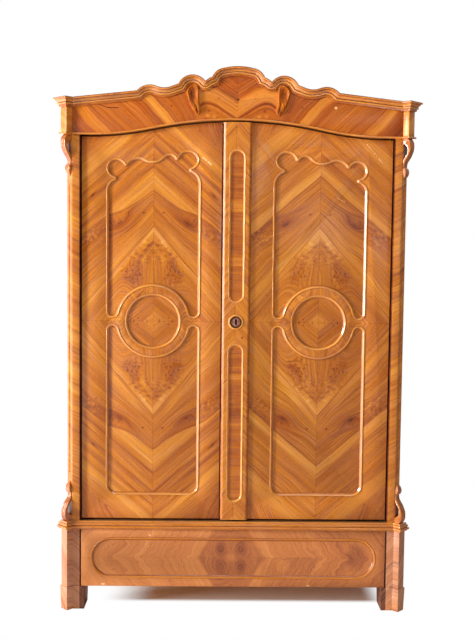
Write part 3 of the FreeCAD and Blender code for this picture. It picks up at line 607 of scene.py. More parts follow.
class Bench:
    """The node tree of a finish or of a shared effect, and the tools that its figure is drawn with."""

    def __init__(self, tree: bpy.types.NodeTree) -> None:
        """Work in this tree."""
        self.tree = tree

    def place(self) -> tuple[Wire, Wire, Wire]:
        """Across, back and up in millimetres, as the piece was set out.

        Returns:
            The three values.
        """
        spot = self.tree.nodes.new("ShaderNodeTexCoord")
        shift = self.tree.nodes.new("ShaderNodeMapping")
        shift.inputs["Location"].default_value = (0.0, -FACE_Y / MM, 0.0)
        shift.inputs["Scale"].default_value = (1.0 / MM,) * 3
        self.tree.links.new(spot.outputs["Object"], shift.inputs["Vector"])
        split = self.tree.nodes.new("ShaderNodeSeparateXYZ")
        self.tree.links.new(shift.outputs[0], split.inputs[0])
        return tuple(Wire(self.tree, out) for out in split.outputs)

    def noise(self, across: Wire, along: Value, depth: Value, detail: float = 2.0,
              rough: float = 0.5) -> Wire:
        """Clouds from 0 to 1 over three values, one cloud to about each unit of them.

        Args:
            across: the first value.
            along: the second value.
            depth: the third value.
            detail: how many finer layers are added.
            rough: how strong they are.

        Returns:
            The clouds.
        """
        join = self.tree.nodes.new("ShaderNodeCombineXYZ")
        for socket, value in zip(join.inputs, (across, along, depth)):
            if isinstance(value, Wire):
                value.feed(socket)
            else:
                socket.default_value = value
        node = self.tree.nodes.new("ShaderNodeTexNoise")
        node.inputs["Scale"].default_value = 1.0
        node.inputs["Detail"].default_value = detail
        node.inputs["Roughness"].default_value = rough
        self.tree.links.new(join.outputs[0], node.inputs["Vector"])
        return Wire(self.tree, node.outputs[0])

    def cloud(self, across: Wire, along: Value, depth: Value, detail: float = 1.0,
              rough: float = 0.5) -> Wire:
        """Clouds as noise gives them, but from -0.5 to 0.5."""
        return self.noise(across, along, depth, detail, rough) - 0.5

    def fixed(self, value: float) -> Wire:
        """The same value everywhere.

        Args:
            value: the value.

        Returns:
            It as an output.
        """
        node = self.tree.nodes.new("ShaderNodeValue")
        node.outputs[0].default_value = value
        return Wire(self.tree, node.outputs[0])

    def effect(self, name: str, **values: Value) -> dict[str, Wire]:
        """Place a shared effect.

        Args:
            name: name of the effect's node group.
            values: what its inputs are given, by their names in small letters.

        Returns:
            Its outputs by name.
        """
        node = self.tree.nodes.new("ShaderNodeGroup")
        node.node_tree = bpy.data.node_groups[name]
        for key, value in values.items():
            socket = node.inputs[key.capitalize()]
            if isinstance(value, Wire):
                value.feed(socket)
            else:
                socket.default_value = value
        return {out.name: Wire(self.tree, out) for out in node.outputs}

    def enclosure(self, distance: float, inside: bool) -> Wire:
        """How open the surface is within a distance in metres: near 0 in corners, or inside at edges.

        Args:
            distance: how far is looked, in metres.
            inside: whether it looks into the piece, for its edges, or away from it, for its corners.

        Returns:
            How open the surroundings are, from 0 to 1.
        """
        node = self.tree.nodes.new("ShaderNodeAmbientOcclusion")
        node.samples = 6
        node.only_local = True
        node.inside = inside
        node.inputs["Distance"].default_value = distance
        return Wire(self.tree, node.outputs["AO"])

    def mark(self) -> Wire:
        """The value that a loft has kept with its rows.

        Returns:
            The kept value.
        """
        node = self.tree.nodes.new("ShaderNodeAttribute")
        node.attribute_name = "mark"
        return Wire(self.tree, node.outputs["Fac"])

    def pick(self, whole: Wire) -> Wire:
        """A random value from 0 to 1 for each whole number.

        Args:
            whole: a whole number.

        Returns:
            A value from 0 to 1 that belongs to the number.
        """
        node = self.tree.nodes.new("ShaderNodeTexWhiteNoise")
        node.noise_dimensions = "1D"
        whole.feed(node.inputs["W"])
        return Wire(self.tree, node.outputs["Value"])

    def stroke(self, u: Wire, v: Wire, start: Point, end: Point, width: float) -> Wire:
        """A line from one point to another, as a mask that is 1 along its middle.

        Args:
            u: place across.
            v: place up.
            start: where the line starts.
            end: where it ends.
            width: how wide it is.

        Returns:
            The mask.
        """
        run, rise = end[0] - start[0], end[1] - start[1]
        length = math.hypot(run, rise)
        over, up = u - start[0], v - start[1]
        along = (over * (run / length) + up * (rise / length)).work("MAXIMUM", 0.0).work("MINIMUM", length)
        beside, above = over - along * (run / length), up - along * (rise / length)
        return (beside * beside + above * above).rise((width / 2.0) ** 2, 0.0)

    def lump(self, u: Wire, v: Wire, spot: Point, size: Point) -> Wire:
        """A soft round mask, 1 in its middle.

        Args:
            u: place across.
            v: place up.
            spot: middle of the mask.
            size: its half width and half height.

        Returns:
            The mask.
        """
        over, rise = (u - spot[0]) / size[0], (v - spot[1]) / size[1]
        return (over * over + rise * rise).rise(1.0, 0.0)

    def darkened(self, tone: Wire, u: Wire, v: Wire, spots: Spots) -> Wire:
        """Lower a tone in soft round spots.

        Args:
            tone: the tone.
            u: place across.
            v: place up.
            spots: middle, half size and depth of each spot; a depth below 0 raises the tone.

        Returns:
            The tone with its spots.
        """
        for spot, size, depth in spots:
            tone = tone - self.lump(u, v, spot, size) * depth
        return tone


Surface = tuple[Wire, Wire, Wire]
Figure = tuple[Wire, Wire, Wire, Wire]


def effect_group(name: str, inputs: dict[str, float],
                 outputs: Sequence[str]) -> tuple[Bench, dict[str, Wire], bpy.types.Node]:
    """Start the node group of a shared effect.

    Args:
        name: its name.
        inputs: its inputs and their values when nothing is led in.
        outputs: its outputs.

    Returns:
        A bench in the group, its inputs, and the node that takes its outputs.
    """
    group = bpy.data.node_groups.new(name, "ShaderNodeTree")
    for key, value in inputs.items():
        group.interface.new_socket(key, in_out="INPUT", socket_type="NodeSocketFloat").default_value = value
    for key in outputs:
        group.interface.new_socket(key, in_out="OUTPUT", socket_type="NodeSocketFloat")
    given = group.nodes.new("NodeGroupInput")
    taken = group.nodes.new("NodeGroupOutput")
    return Bench(group), {key: Wire(group, given.outputs[key]) for key in inputs}, taken


def make_grain_effect() -> None:
    """Wood grain: broad bands, streaks and pores that run along one value and change across another."""
    bench, given, taken = effect_group("wood_grain", {"Across": 0.0, "Along": 0.0, "Seed": 0.0},
                                       ("Bands", "Streaks", "Pores", "Hue"))

    def layer(width: float, length: float, shift: float, detail: float = 1.0, rough: float = 0.5) -> Wire:
        """Grain of one size in millimetres, with its own shift of the seed."""
        across, along = given["Across"] / width, given["Along"] / length
        return bench.noise(across, along, given["Seed"] + shift, detail, rough)

    medium, fine = layer(10.0, 340.0, 5.0), layer(4.2, 170.0, 9.0, rough=0.6)
    hair = layer(1.4, 60.0, 21.0, rough=0.6)
    lively = layer(60.0, 160.0, 31.0).rise(0.3, 0.7)
    streaks = (medium * 0.36 + fine * 0.40 + hair * 0.24 - 0.5) * (lively * 0.8 + 0.5)
    layer(34.0, 700.0, 0.0).rise(0.25, 0.75).feed(taken.inputs["Bands"])
    (streaks * 3.9 + 0.5).feed(taken.inputs["Streaks"])
    layer(0.9, 11.0, 13.0, 0.0).rise(0.62, 0.74).feed(taken.inputs["Pores"])
    layer(12.0, 130.0, 40.0, 2.0, 0.55).rise(0.36, 0.66).feed(taken.inputs["Hue"])


def make_age_effect() -> None:
    """Rubbed edges and a patchy shine left by years of use, and darkening in the corners: painted shade, with
    old polish gathered there too.
    """
    bench, _, taken = effect_group("age_and_polish", {}, ("Wear", "Grime", "Patches"))
    x, y, z = bench.place()
    breaks = bench.noise(x / 14.0, y / 14.0, z / 14.0, 3.0, 0.6)
    edges = bench.enclosure(0.0022, inside=True)
    (edges.rise(0.97, 0.72) * breaks.rise(0.3, 0.6)).feed(taken.inputs["Wear"])
    # Painted shade: the surface darkens where a corner closes round it, which also stands for old polish
    # there.
    bench.enclosure(0.010, inside=False).rise(0.85, 0.25).feed(taken.inputs["Grime"])
    bench.noise(x / 110.0, y / 110.0, z / 110.0, 3.0, 0.6).rise(0.3, 0.7).feed(taken.inputs["Patches"])


@dataclass(frozen=True)
class Finish:
    """A finish of one kind of wood or metal, the base of all the others."""

    name: str
    slot: str
    roughness: float = 0.52
    metallic: float = 0.0
    specular: float = 0.5
    coat: float = 0.0
    coat_roughness: float = 0.12

    def material(self) -> bpy.types.Material:
        """The finish as a material, made once.

        Returns:
            The material.
        """
        found = bpy.data.materials.get(self.name)
        if found:
            return found
        made = bpy.data.materials.new(self.name)
        made.use_nodes = True
        bench = Bench(made.node_tree)
        shader = made.node_tree.nodes["Principled BSDF"]
        shader.inputs["Metallic"].default_value = self.metallic
        shader.inputs["Specular IOR Level"].default_value = self.specular
        shader.inputs["Coat Weight"].default_value = self.coat
        shader.inputs["Coat Roughness"].default_value = self.coat_roughness
        colour, height, gloss = self.figure(bench)
        colour.feed(shader.inputs["Base Color"])
        gloss.feed(shader.inputs["Roughness"])
        bump = made.node_tree.nodes.new("ShaderNodeBump")
        bump.inputs["Strength"].default_value = 1.0
        bump.inputs["Distance"].default_value = 0.0002
        height.feed(bump.inputs["Height"])
        made.node_tree.links.new(bump.outputs[0], shader.inputs["Normal"])
        return made

    def figure(self, bench: Bench) -> Surface:
        """Colour, height in fifths of a millimetre, and roughness of the finish over the surface."""
        raise NotImplementedError


WARM_WOOD = (
    (0.0, (50, 12, 2)), (0.22, (116, 44, 0)), (0.42, (178, 87, 0)), (0.58, (211, 123, 14)),
    (0.76, (236, 156, 46)), (1.0, (253, 196, 104)), (1.3, (255, 246, 232)),
)
PINK_WOOD = (
    (0.0, (72, 28, 14)), (0.22, (122, 60, 34)), (0.42, (168, 94, 52)), (0.58, (204, 123, 62)),
    (0.76, (224, 147, 80)), (1.0, (245, 190, 126)), (1.3, (255, 240, 220)),
)


@dataclass(frozen=True)
class PolishedWood(Finish):
    """Polished wood with straight grain."""

    colours: Colours = WARM_WOOD
    pinker: Colours = PINK_WOOD
    hue: float = 0.65
    tone: float = 0.55
    bands: float = 0.12
    streaks: float = 0.16
    wear: float = 0.18
    # How much painted shade and old polish darken the corners.
    grime: float = 0.35
    specular: float = 0.38
    coat: float = 0.32
    coat_roughness: float = 0.22

    def drawn(self, bench: Bench) -> Figure:
        """Base tone, value across the grain, value along it and seed."""
        x, y, z = bench.place()
        return bench.fixed(self.tone), x + y * 0.7, z, bench.fixed(0.0)

    def figure(self, bench: Bench) -> Surface:
        """Colour, height and roughness: the drawn figure with its grain, its age and painted shade in its
        corners.

        Args:
            bench: where the nodes are placed.

        Returns:
            The three values.
        """
        tone, across, along, seed = self.drawn(bench)
        grain = bench.effect("wood_grain", across=across, along=along, seed=seed)
        age = bench.effect("age_and_polish")
        tone = tone + (grain["Bands"] - 0.5) * self.bands + (grain["Streaks"] - 0.5) * self.streaks
        # Edges lighten where rubbed; corners darken by painted shade and old polish.
        tone = tone - grain["Pores"] * 0.14 + age["Wear"] * self.wear - age["Grime"] * self.grime
        height = grain["Streaks"] * 0.12 - grain["Pores"] * 0.3 + age["Patches"] * 0.2
        gloss = age["Patches"] * 0.10 + age["Grime"] * 0.2 + (self.roughness - 0.05)
        colour = tone.tint(self.colours)
        if self.hue:
            colour = colour.mixed(tone.tint(self.pinker), grain["Hue"] * self.hue)
        return colour, height, gloss


@dataclass(frozen=True)
class DoorVeneer(PolishedWood):
    """Four leaves of veneer to each door, folded about the middle of the disc.

    Places in a leaf are u across and v up from the middle of the disc. From there outwards come a diamond
    with a burl, a darker zone with an eye, and broad straight streaks that end in a reddish corner.
    """

    streaks: float = 0.21
    bands: float = 0.08
    middle: Point = (337.0, 1196.0)
    diamond: float = 382.0
    diamond_slope: float = 1.15
    streak_slope: float = 0.87
    corner_from: float = 900.0
    veneer_back: float = 36.0
    # Where the outer edge and the foot of each leaf begin; beyond them the edges carry painted shade, as they
    # lie in the gaps.
    edges: Point = (625.0, 382.0)
    disc_radius: float = 113.0
    dark_edge: tuple[Point, ...] = (
        (0.0, 536.0), (30.0, 511.0), (57.0, 489.0), (90.0, 466.0), (118.0, 451.0), (150.0, 441.0),
        (176.0, 432.0), (196.0, 422.0), (230.0, 397.0), (268.0, 366.0), (330.0, 316.0),
    )
    left_streaks: tuple[Point, ...] = (
        (430.0, 0.62), (535.0, 0.64), (560.0, 0.69), (590.0, 0.67), (604.0, 0.61), (616.0, 0.54),
        (630.0, 0.46), (642.0, 0.53), (656.0, 0.55), (668.0, 0.49), (680.0, 0.57), (697.0, 0.57),
        (705.0, 0.48), (712.0, 0.43), (722.0, 0.53), (738.0, 0.59), (750.0, 0.51), (764.0, 0.44),
        (774.0, 0.55), (790.0, 0.57), (802.0, 0.51), (812.0, 0.56), (818.0, 0.65), (838.0, 0.69),
        (855.0, 0.70), (862.0, 0.60), (885.0, 0.57), (905.0, 0.53), (930.0, 0.47), (990.0, 0.44),
        (1100.0, 0.49),
    )
    right_streaks: tuple[Point, ...] = (
        (430.0, 0.49), (535.0, 0.51), (585.0, 0.48), (595.0, 0.44), (598.0, 0.68), (620.0, 0.70),
        (636.0, 0.64), (646.0, 0.53), (660.0, 0.50), (680.0, 0.46), (695.0, 0.53), (715.0, 0.48),
        (735.0, 0.54), (760.0, 0.49), (790.0, 0.53), (815.0, 0.48), (840.0, 0.52), (852.0, 0.62),
        (880.0, 0.64), (908.0, 0.61), (925.0, 0.52), (960.0, 0.46), (1100.0, 0.48),
    )
    # Scratches as start, end, width and depth: a depth above 0 paints a white reflection along a scratch in
    # the polish, one below 0 a dark crack.
    scratches_and_glints: tuple[tuple[Point, Point, float, float], ...] = (
        ((-140.0, 1858.0), (-106.0, 1830.0), 5.0, 1.0), ((-158.0, 1832.0), (-138.0, 1808.0), 3.0, 0.5),
        ((520.0, 1919.0), (582.0, 1848.0), 4.0, 0.7), ((-400.0, 1296.0), (-378.0, 1320.0), 7.0, -0.4),
        ((404.0, 1702.0), (436.0, 1688.0), 4.0, 0.5),
    )
    knots: Spots = (
        ((40.0, 439.0), (8.0, 5.0), 0.24),
        ((212.0, 110.0), (9.0, 5.0), 0.08),
        ((10.0, 150.0), (5.0, 5.0), 0.14),
    )
    zone_tones: tuple[Point, ...] = (
        (0.0, 0.53), (30.0, 0.56), (80.0, 0.55), (150.0, 0.53), (185.0, 0.50), (200.0, 0.46))
    steep_tones: tuple[Point, ...] = (
        (-382.0, 0.54), (-82.0, 0.55), (-66.0, 0.49), (-50.0, 0.55), (-32.0, 0.66), (-8.0, 0.74), (0.0, 0.77))
    plain_tones: tuple[Point, ...] = (
        (-382.0, 0.54), (-140.0, 0.57), (-60.0, 0.55), (-26.0, 0.58), (-8.0, 0.66), (0.0, 0.68))
    inside_tone: float = 0.42
    curl: tuple[Point, Point] = ((244.0, 350.0), (62.0, 56.0))
    ripple: tuple[Point, Point] = ((40.0, 282.0), (100.0, 66.0))
    cloud: tuple[Point, Point] = ((80.0, 194.0), (54.0, 80.0))
    # Painted shadow down the left-hand side of the left door's fields: its band across and up from the middle
    # of the disc, and the fade that keeps it to that side.
    painted_bead_shadow: tuple[Place, Place, Point] = ((168.0, 190.0, 9.0), (40.0, 470.0, 24.0), (-336.0, -338.0))
    streak_knot: Point = (243.0, 720.0)
    streak_knot_rings: tuple[Place, ...] = ((26.0, 10.0, 0.14), (9.0, 4.5, 0.20))
    eye: Point = (138.0, 157.0)
    eye_rings: tuple[tuple[float, float, float, float], ...] = (
        (64.0, 30.0, 0.07, 18.0), (34.0, 15.0, 0.08, 10.0), (15.0, 6.0, 0.09, 6.0))
    disc_tones: tuple[Point, ...] = (
        (0.0, 0.66), (40.0, 0.63), (46.0, 0.55), (80.0, 0.51), (120.0, 0.56), (150.0, 0.51))
    disc_spots: Spots = (
        ((25.0, 4.0), (4.5, 3.5), 0.25),
        ((62.0, 12.0), (4.5, 3.5), 0.25),
        ((79.0, 3.0), (4.5, 3.5), 0.25),
    )

    def drawn(self, bench: Bench) -> Figure:
        """Base tone, value across the grain, value along it and seed.

        Args:
            bench: where the nodes are placed.

        Returns:
            The four values.
        """
        x, _, z = bench.place()
        side = x.work("SIGN")
        right = side.rise(-0.5, 0.5)
        run, up = abs(x) - self.middle[0], z - self.middle[1]
        u, v = abs(run), abs(up)
        leaf = run.work("SIGN") * 0.35 + up.work("SIGN") * 0.2 + side * 1.3
        drift = bench.cloud(u / 150.0, v / 150.0, side * 2.0, rough=0.4)
        shake = bench.cloud(x / 90.0, z / 90.0, 4.0, 0.0)
        wave = drift * 22.0 + shake * 8.0
        from_diamond = u * self.diamond_slope + v + shake * 5.0 - self.diamond
        edge = u.curve(self.dark_edge, smooth=True)
        over = v - edge + shake * 10.0
        streak = v + u * self.streak_slope + shake * 6.0
        in_diamond = from_diamond.rise(0.7, -0.7)
        in_far = over.rise(-2.5, 2.5)
        far = streak.curve(self.left_streaks).blend(streak.curve(self.right_streaks), right)
        middle, across = self.dark_zone(bench, (x, z), (u, v), (from_diamond, over), wave)
        inner, inner_across = self.burl(bench, (u, v), from_diamond, wave, shake, right)
        tone = middle.blend(far, in_far).blend(inner, in_diamond)
        in_corner = streak.rise(self.corner_from - 30.0, self.corner_from + 30.0)
        far_across = (streak + wave * 0.5).blend(streak * 0.55 + u * 0.6 + wave * 2.0, in_corner)
        across = across.blend(far_across, in_far).blend(inner_across, in_diamond)
        for reach, tall, depth in self.streak_knot_rings:
            knot = bench.lump(u + shake * 10.0, streak, self.streak_knot, (reach, tall))
            tone = tone - knot * depth * (right * -0.85 + 1.0)
        tone = bench.darkened(tone, u, v, self.knots)
        # Painted light: the outer leaf of each door lighter and the inner one darker, as the folded grain
        # catches the light; the right-hand door and the lower half a little lighter.
        shade = (run * side).work("SIGN") * -0.016 + right * 0.026 + z.rise(1200.0, 400.0) * 0.014 + 0.01
        # Painted reflections: the scratches light up white, broken into dashes.
        broken_glint = bench.noise(x / 6.0, z / 6.0, 5.0, 1.0).rise(0.40, 0.62)
        for start, end, width, depth in self.scratches_and_glints:
            tone = tone + bench.stroke(x, z, start, end, width) * broken_glint * depth
        tone, across, along, seed = self.with_disc(bench, tone + shade, across, (u, v), leaf)
        # Painted shade on the outer edge and the foot of each leaf, in the gaps round the door.
        gap_shade = abs(x).rise(self.edges[0], self.edges[0] + 1.5).work("MAXIMUM", z.rise(self.edges[1], 380.0))
        # Painted shadow that the bead casts into the field, on the left of the left-hand door.
        beside, above, left = self.painted_bead_shadow
        corner = u.within(*beside) * v.within(*above) * x.rise(*left)
        tone = tone - gap_shade * 0.45 - corner * 0.20
        inside = bench.place()[1].rise(self.veneer_back, self.veneer_back + 1.0)
        return tone.blend(self.inside_tone, inside), across.blend(x, inside), along.blend(z, inside), seed

    def dark_zone(self, bench: Bench, spot: tuple[Wire, Wire], leaf: tuple[Wire, Wire],
                  lines: tuple[Wire, Wire], wave: Wire) -> tuple[Wire, Wire]:
        """Tone and value across the grain between the diamond and the broad streaks.

        Args:
            bench: where the nodes are placed.
            spot: place on the cupboard, across and up.
            leaf: place in the leaf of veneer, across and up from the middle of the disc.
            lines: distances from the diamond and from the streaks.
            wave: slow waves of the grain, in millimetres.

        Returns:
            The tone and the value across the grain.
        """
        (x, z), (u, v), (from_diamond, over) = spot, leaf, lines
        level = from_diamond / (from_diamond - over) * 200.0
        bend = wave * 1.2
        tone = level.curve(self.zone_tones)
        dark = over.rise(-120.0, -50.0) * u.rise(20.0, 95.0)
        tone = tone - dark * 0.065 + from_diamond.within(6.0, 60.0, 10.0) * u.rise(35.0, 85.0) * 0.09
        for reach, tall, depth, swell in self.eye_rings:
            eye = bench.lump(u + wave * 0.4, level + wave * 0.3, self.eye, (reach, tall))
            tone = tone - eye * depth
            bend = bend + eye * swell
        curly = bench.lump(u, v, *self.curl)
        curls = bench.cloud(x / 16.0, z / 16.0, 2.0, 2.0)
        tone = tone + curly * curls * 0.5
        return tone, level + bend + curly * curls * 40.0

    def burl(self, bench: Bench, leaf: tuple[Wire, Wire], from_diamond: Wire, wave: Wire, shake: Wire,
             right: Wire) -> tuple[Wire, Wire]:
        """Tone and value across the grain inside the diamond.

        Args:
            bench: where the nodes are placed.
            leaf: place in the leaf of veneer, across and up from the middle of the disc.
            from_diamond: distance from the edge of the diamond.
            wave: slow waves of the grain, in millimetres.
            shake: small uneven shifts.
            right: 0 on the left door and 1 on the right one.

        Returns:
            The tone and the value across the grain.
        """
        u, v = leaf
        steep, plain = from_diamond.curve(self.steep_tones), from_diamond.curve(self.plain_tones)
        tone = steep.blend(plain, u.rise(30.0, 90.0)) - right * u.rise(70.0, 120.0) * 0.05
        ripple = bench.cloud(u / 26.0, v / 13.0, 3.0)
        curly = bench.lump(u, v, *self.ripple)
        cloud = bench.lump(u + shake * 30.0, v + shake * 30.0, *self.cloud)
        specks = bench.noise(u / 9.0 + shake * 3.0, v / 12.0, 8.0, 2.0, 0.6)
        tone = tone + curly * ripple * 0.62 - cloud * 0.07 - curly * 0.03
        tone = tone - cloud * specks.rise(0.46, 0.72) * 0.24
        upright = (v * -1.0 + 250.0).work("MAXIMUM", 0.0) * u.rise(150.0, 40.0) * 0.9
        return tone, from_diamond + wave + upright + curly * ripple * 24.0 + cloud * specks * 24.0

    def with_disc(self, bench: Bench, tone: Wire, across: Wire, leaf: tuple[Wire, Wire],
                  seed: Wire) -> tuple[Wire, Wire, Wire, Wire]:
        """Add the small diamond of the round field and the joints between the leaves.

        Args:
            bench: where the nodes are placed.
            tone: the tone so far.
            across: the value across the grain so far.
            leaf: place in the leaf of veneer, across and up from the middle of the disc.
            seed: the seed of the grain.

        Returns:
            The tone, the values across and along the grain, and the seed.
        """
        u, v = leaf
        in_disc = (u * u + v * v).work("SQRT").rise(self.disc_radius + 0.5, self.disc_radius - 0.5)
        small = bench.darkened((u + v).curve(self.disc_tones), u, v, self.disc_spots)
        joint = u.work("MINIMUM", v).rise(1.2, 0.3)
        tone = tone.blend(small, in_disc) - joint * 0.13
        return tone, across.blend(u * 0.8 + v, in_disc), (u - v) * 0.7, seed


@dataclass(frozen=True)
class DrawerVeneer(PolishedWood):
    """Two rows of veneer along the drawer, folded about its middle line, with a dark burl in the middle."""

    streaks: float = 0.17
    bands: float = 0.06
    middle: Point = (-10.0, 218.0)
    run_tones: tuple[Point, ...] = (
        (0.0, 0.44), (70.0, 0.42), (104.0, 0.44), (122.0, 0.42), (130.0, 0.50), (140.0, 0.64),
        (170.0, 0.62), (215.0, 0.57), (235.0, 0.58), (275.0, 0.53), (300.0, 0.54), (340.0, 0.59),
        (388.0, 0.61), (394.0, 0.65), (404.0, 0.56), (450.0, 0.58), (484.0, 0.59), (492.0, 0.55),
        (540.0, 0.59), (546.0, 0.64), (560.0, 0.58), (660.0, 0.60),
    )
    burl_edge: Point = (136.0, 112.0)
    burl_dark: Spots = (((42.0, 38.0), (27.0, 38.0), 0.10),)
    burl_light: Spots = (((0.0, 0.0), (24.0, 20.0), -0.12),)
    dark_row: tuple[Place, Point] = ((116.0, 345.0, 12.0), (222.0, 219.0))
    pale_patch: Spots = (((205.0, 186.0), (38.0, 44.0), -0.09),)
    dark_patch: Spots = (((514.0, 222.0), (58.0, 74.0), 0.13),)
    nick: Spots = (((212.0, 211.0), (4.5, 3.5), 0.3),)
    # Painted shade: from here the drawer darkens towards its right end.
    shaded_right_end: Point = (200.0, 460.0)
    chips: Spots = (
        ((-538.0, 106.0), (11.0, 5.0), -0.5),
        ((312.0, 103.0), (9.0, 4.0), -0.5),
        ((-345.0, 312.0), (6.0, 4.0), -0.5),
    )

    def drawn(self, bench: Bench) -> Figure:
        """Base tone, value across the grain, value along it and seed.

        Args:
            bench: where the nodes are placed.

        Returns:
            The four values.
        """
        x, _, z = bench.place()
        run, up = x - self.middle[0], z - self.middle[1]
        u, v = abs(run), abs(up)
        right = x.rise(-30.0, 30.0)
        drift = bench.cloud(u / 90.0, v / 50.0, 1.5, 2.0)
        shake = bench.cloud(x / 50.0, z / 40.0, 7.0, 2.0)
        wave = drift * 46.0 + shake * 30.0
        chevron = u + v * (u.rise(150.0, 420.0) * 0.3 + 0.5) + wave * u.rise(90.0, 200.0) + wave * 0.3
        tone = chevron.curve(self.run_tones)
        wide, tall = u + shake * 10.0 - 42.0, (v - 38.0) * 0.62
        swirl = (wide * wide + tall * tall).work("SQRT")
        tone = bench.darkened(tone, u + shake * 12.0, v, self.burl_dark)
        tone = bench.darkened(tone, u, v, self.burl_light)
        tone = tone - x.within(*self.dark_row[0]) * z.rise(*self.dark_row[1]) * 0.075
        tone = bench.darkened(tone, x, z, self.pale_patch)
        tone = bench.darkened(tone, x + shake * 10.0, z, self.dark_patch)
        tone = bench.darkened(tone, x + shake * 8.0, z, self.chips)
        tone = bench.darkened(tone, x, z, self.nick)
        burl = (u + v * 0.4 + wave * 0.3).rise(*self.burl_edge)
        joint = v.rise(0.9, 0.2) * 0.6 + u.rise(0.8, 0.2) * 0.4
        across = chevron.blend(swirl + wave * 0.7, burl)
        # Painted shade darkens the right end of the drawer; the joints are dark in the wood.
        tone = tone - joint * 0.10 - x.rise(*self.shaded_right_end) * 0.09 + 0.05
        return tone, across, u * 0.3 + v * 0.9, right * 0.3 + up.work("SIGN") * 0.15


@dataclass(frozen=True)
class FriezeVeneer(PolishedWood):
    """Veneer whose grain leans towards the middle and fans out in it."""

    streaks: float = 0.19
    bands: float = 0.07
    hue: float = 0.35
    specular: float = 0.25
    coat: float = 0.18
    lean: tuple[Point, ...] = (
        (0.0, 0.5), (225.0, 0.57), (300.0, 0.81), (450.0, 1.15), (560.0, 1.1), (620.0, 0.75), (690.0, 0.7))
    side_tones: tuple[Point, ...] = (
        (150.0, 0.50), (190.0, 0.45), (215.0, 0.48), (228.0, 0.53), (238.0, 0.46), (244.0, 0.51),
        (249.0, 0.33), (253.0, 0.68), (264.0, 0.75), (285.0, 0.73), (298.0, 0.62), (304.0, 0.49),
        (318.0, 0.45), (335.0, 0.52), (370.0, 0.55), (400.0, 0.50), (440.0, 0.56), (470.0, 0.54),
        (500.0, 0.50), (540.0, 0.52), (546.0, 0.43), (550.0, 0.62), (580.0, 0.65), (604.0, 0.62),
        (612.0, 0.48), (640.0, 0.39), (700.0, 0.36),
    )
    fold: tuple[Point, ...] = (
        (0.0, 2008.0), (15.0, 2015.0), (60.0, 2050.0), (90.0, 2067.0), (115.0, 2073.0), (135.0, 2070.0),
        (150.0, 2060.0), (190.0, 2040.0))
    fan_tones: tuple[Point, ...] = (
        (-60.0, 0.50), (-30.0, 0.56), (-6.0, 0.52), (-2.5, 0.34), (2.0, 0.34), (5.0, 0.58), (14.0, 0.67),
        (34.0, 0.69), (58.0, 0.65), (68.0, 0.58), (74.0, 0.48), (100.0, 0.45), (130.0, 0.45),
    )
    knots: Spots = (
        ((262.0, 60.0), (6.0, 5.0), 0.2),
        ((72.0, 92.0), (5.0, 4.0), 0.2),
        ((112.0, 42.0), (9.0, 7.0), 0.16),
    )
    pale_spots: Spots = (
        ((90.0, 20.0), (12.0, 10.0), -0.13),
        ((118.0, 22.0), (12.0, 10.0), -0.13),
    )
    chip: Spots = (((390.0, 2060.0), (8.0, 7.0), -0.7),)
    crack: tuple[Point, ...] = ((-566.0, 2066.0), (-522.0, 2049.0), (-478.0, 2050.0))
    crack_width: float = 4.0
    fan_edge: Point = (176.0, 156.0)

    def drawn(self, bench: Bench) -> Figure:
        """Base tone, value across the grain, value along it and seed.

        Args:
            bench: where the nodes are placed.

        Returns:
            The four values.
        """
        x, _, z = bench.place()
        u, up = abs(x + 5.0), z - 2000.0
        drift = bench.cloud(u / 110.0, up / 80.0, 2.5)
        shake = bench.cloud(x / 60.0, z / 60.0, 9.0)
        wave = drift * 18.0 + shake * 7.0
        side = u - up * u.curve(self.lean, smooth=True) + wave
        fan = z - u.curve(self.fold, smooth=True) + wave * 0.4
        near = u.rise(*self.fan_edge)
        tone = side.curve(self.side_tones).blend(fan.curve(self.fan_tones), near)
        tone = bench.darkened(tone, u + shake * 6.0, up, self.knots)
        tone = bench.darkened(tone, u + shake * 10.0, up, self.pale_spots)
        tone = bench.darkened(tone, x + shake * 8.0, z, self.chip)
        runs = zip(self.crack, self.crack[1:])
        crack, more = (bench.stroke(x, z, *ends, self.crack_width) for ends in runs)
        crack = crack.work("MAXIMUM", more)
        joint = u.rise(0.9, 0.2)
        # Painted shade in and round the pin hole.
        hole = bench.lump(x, z, PLAN.pin_hole, (5.5, 5.0)).rise(0.3, 0.7)
        tone = tone - joint * 0.08 - crack * 0.6 - hole * 0.6 - 0.03
        return tone, side.blend(fan, near), u * 0.5 + up * 0.6, x.work("SIGN") * 0.3


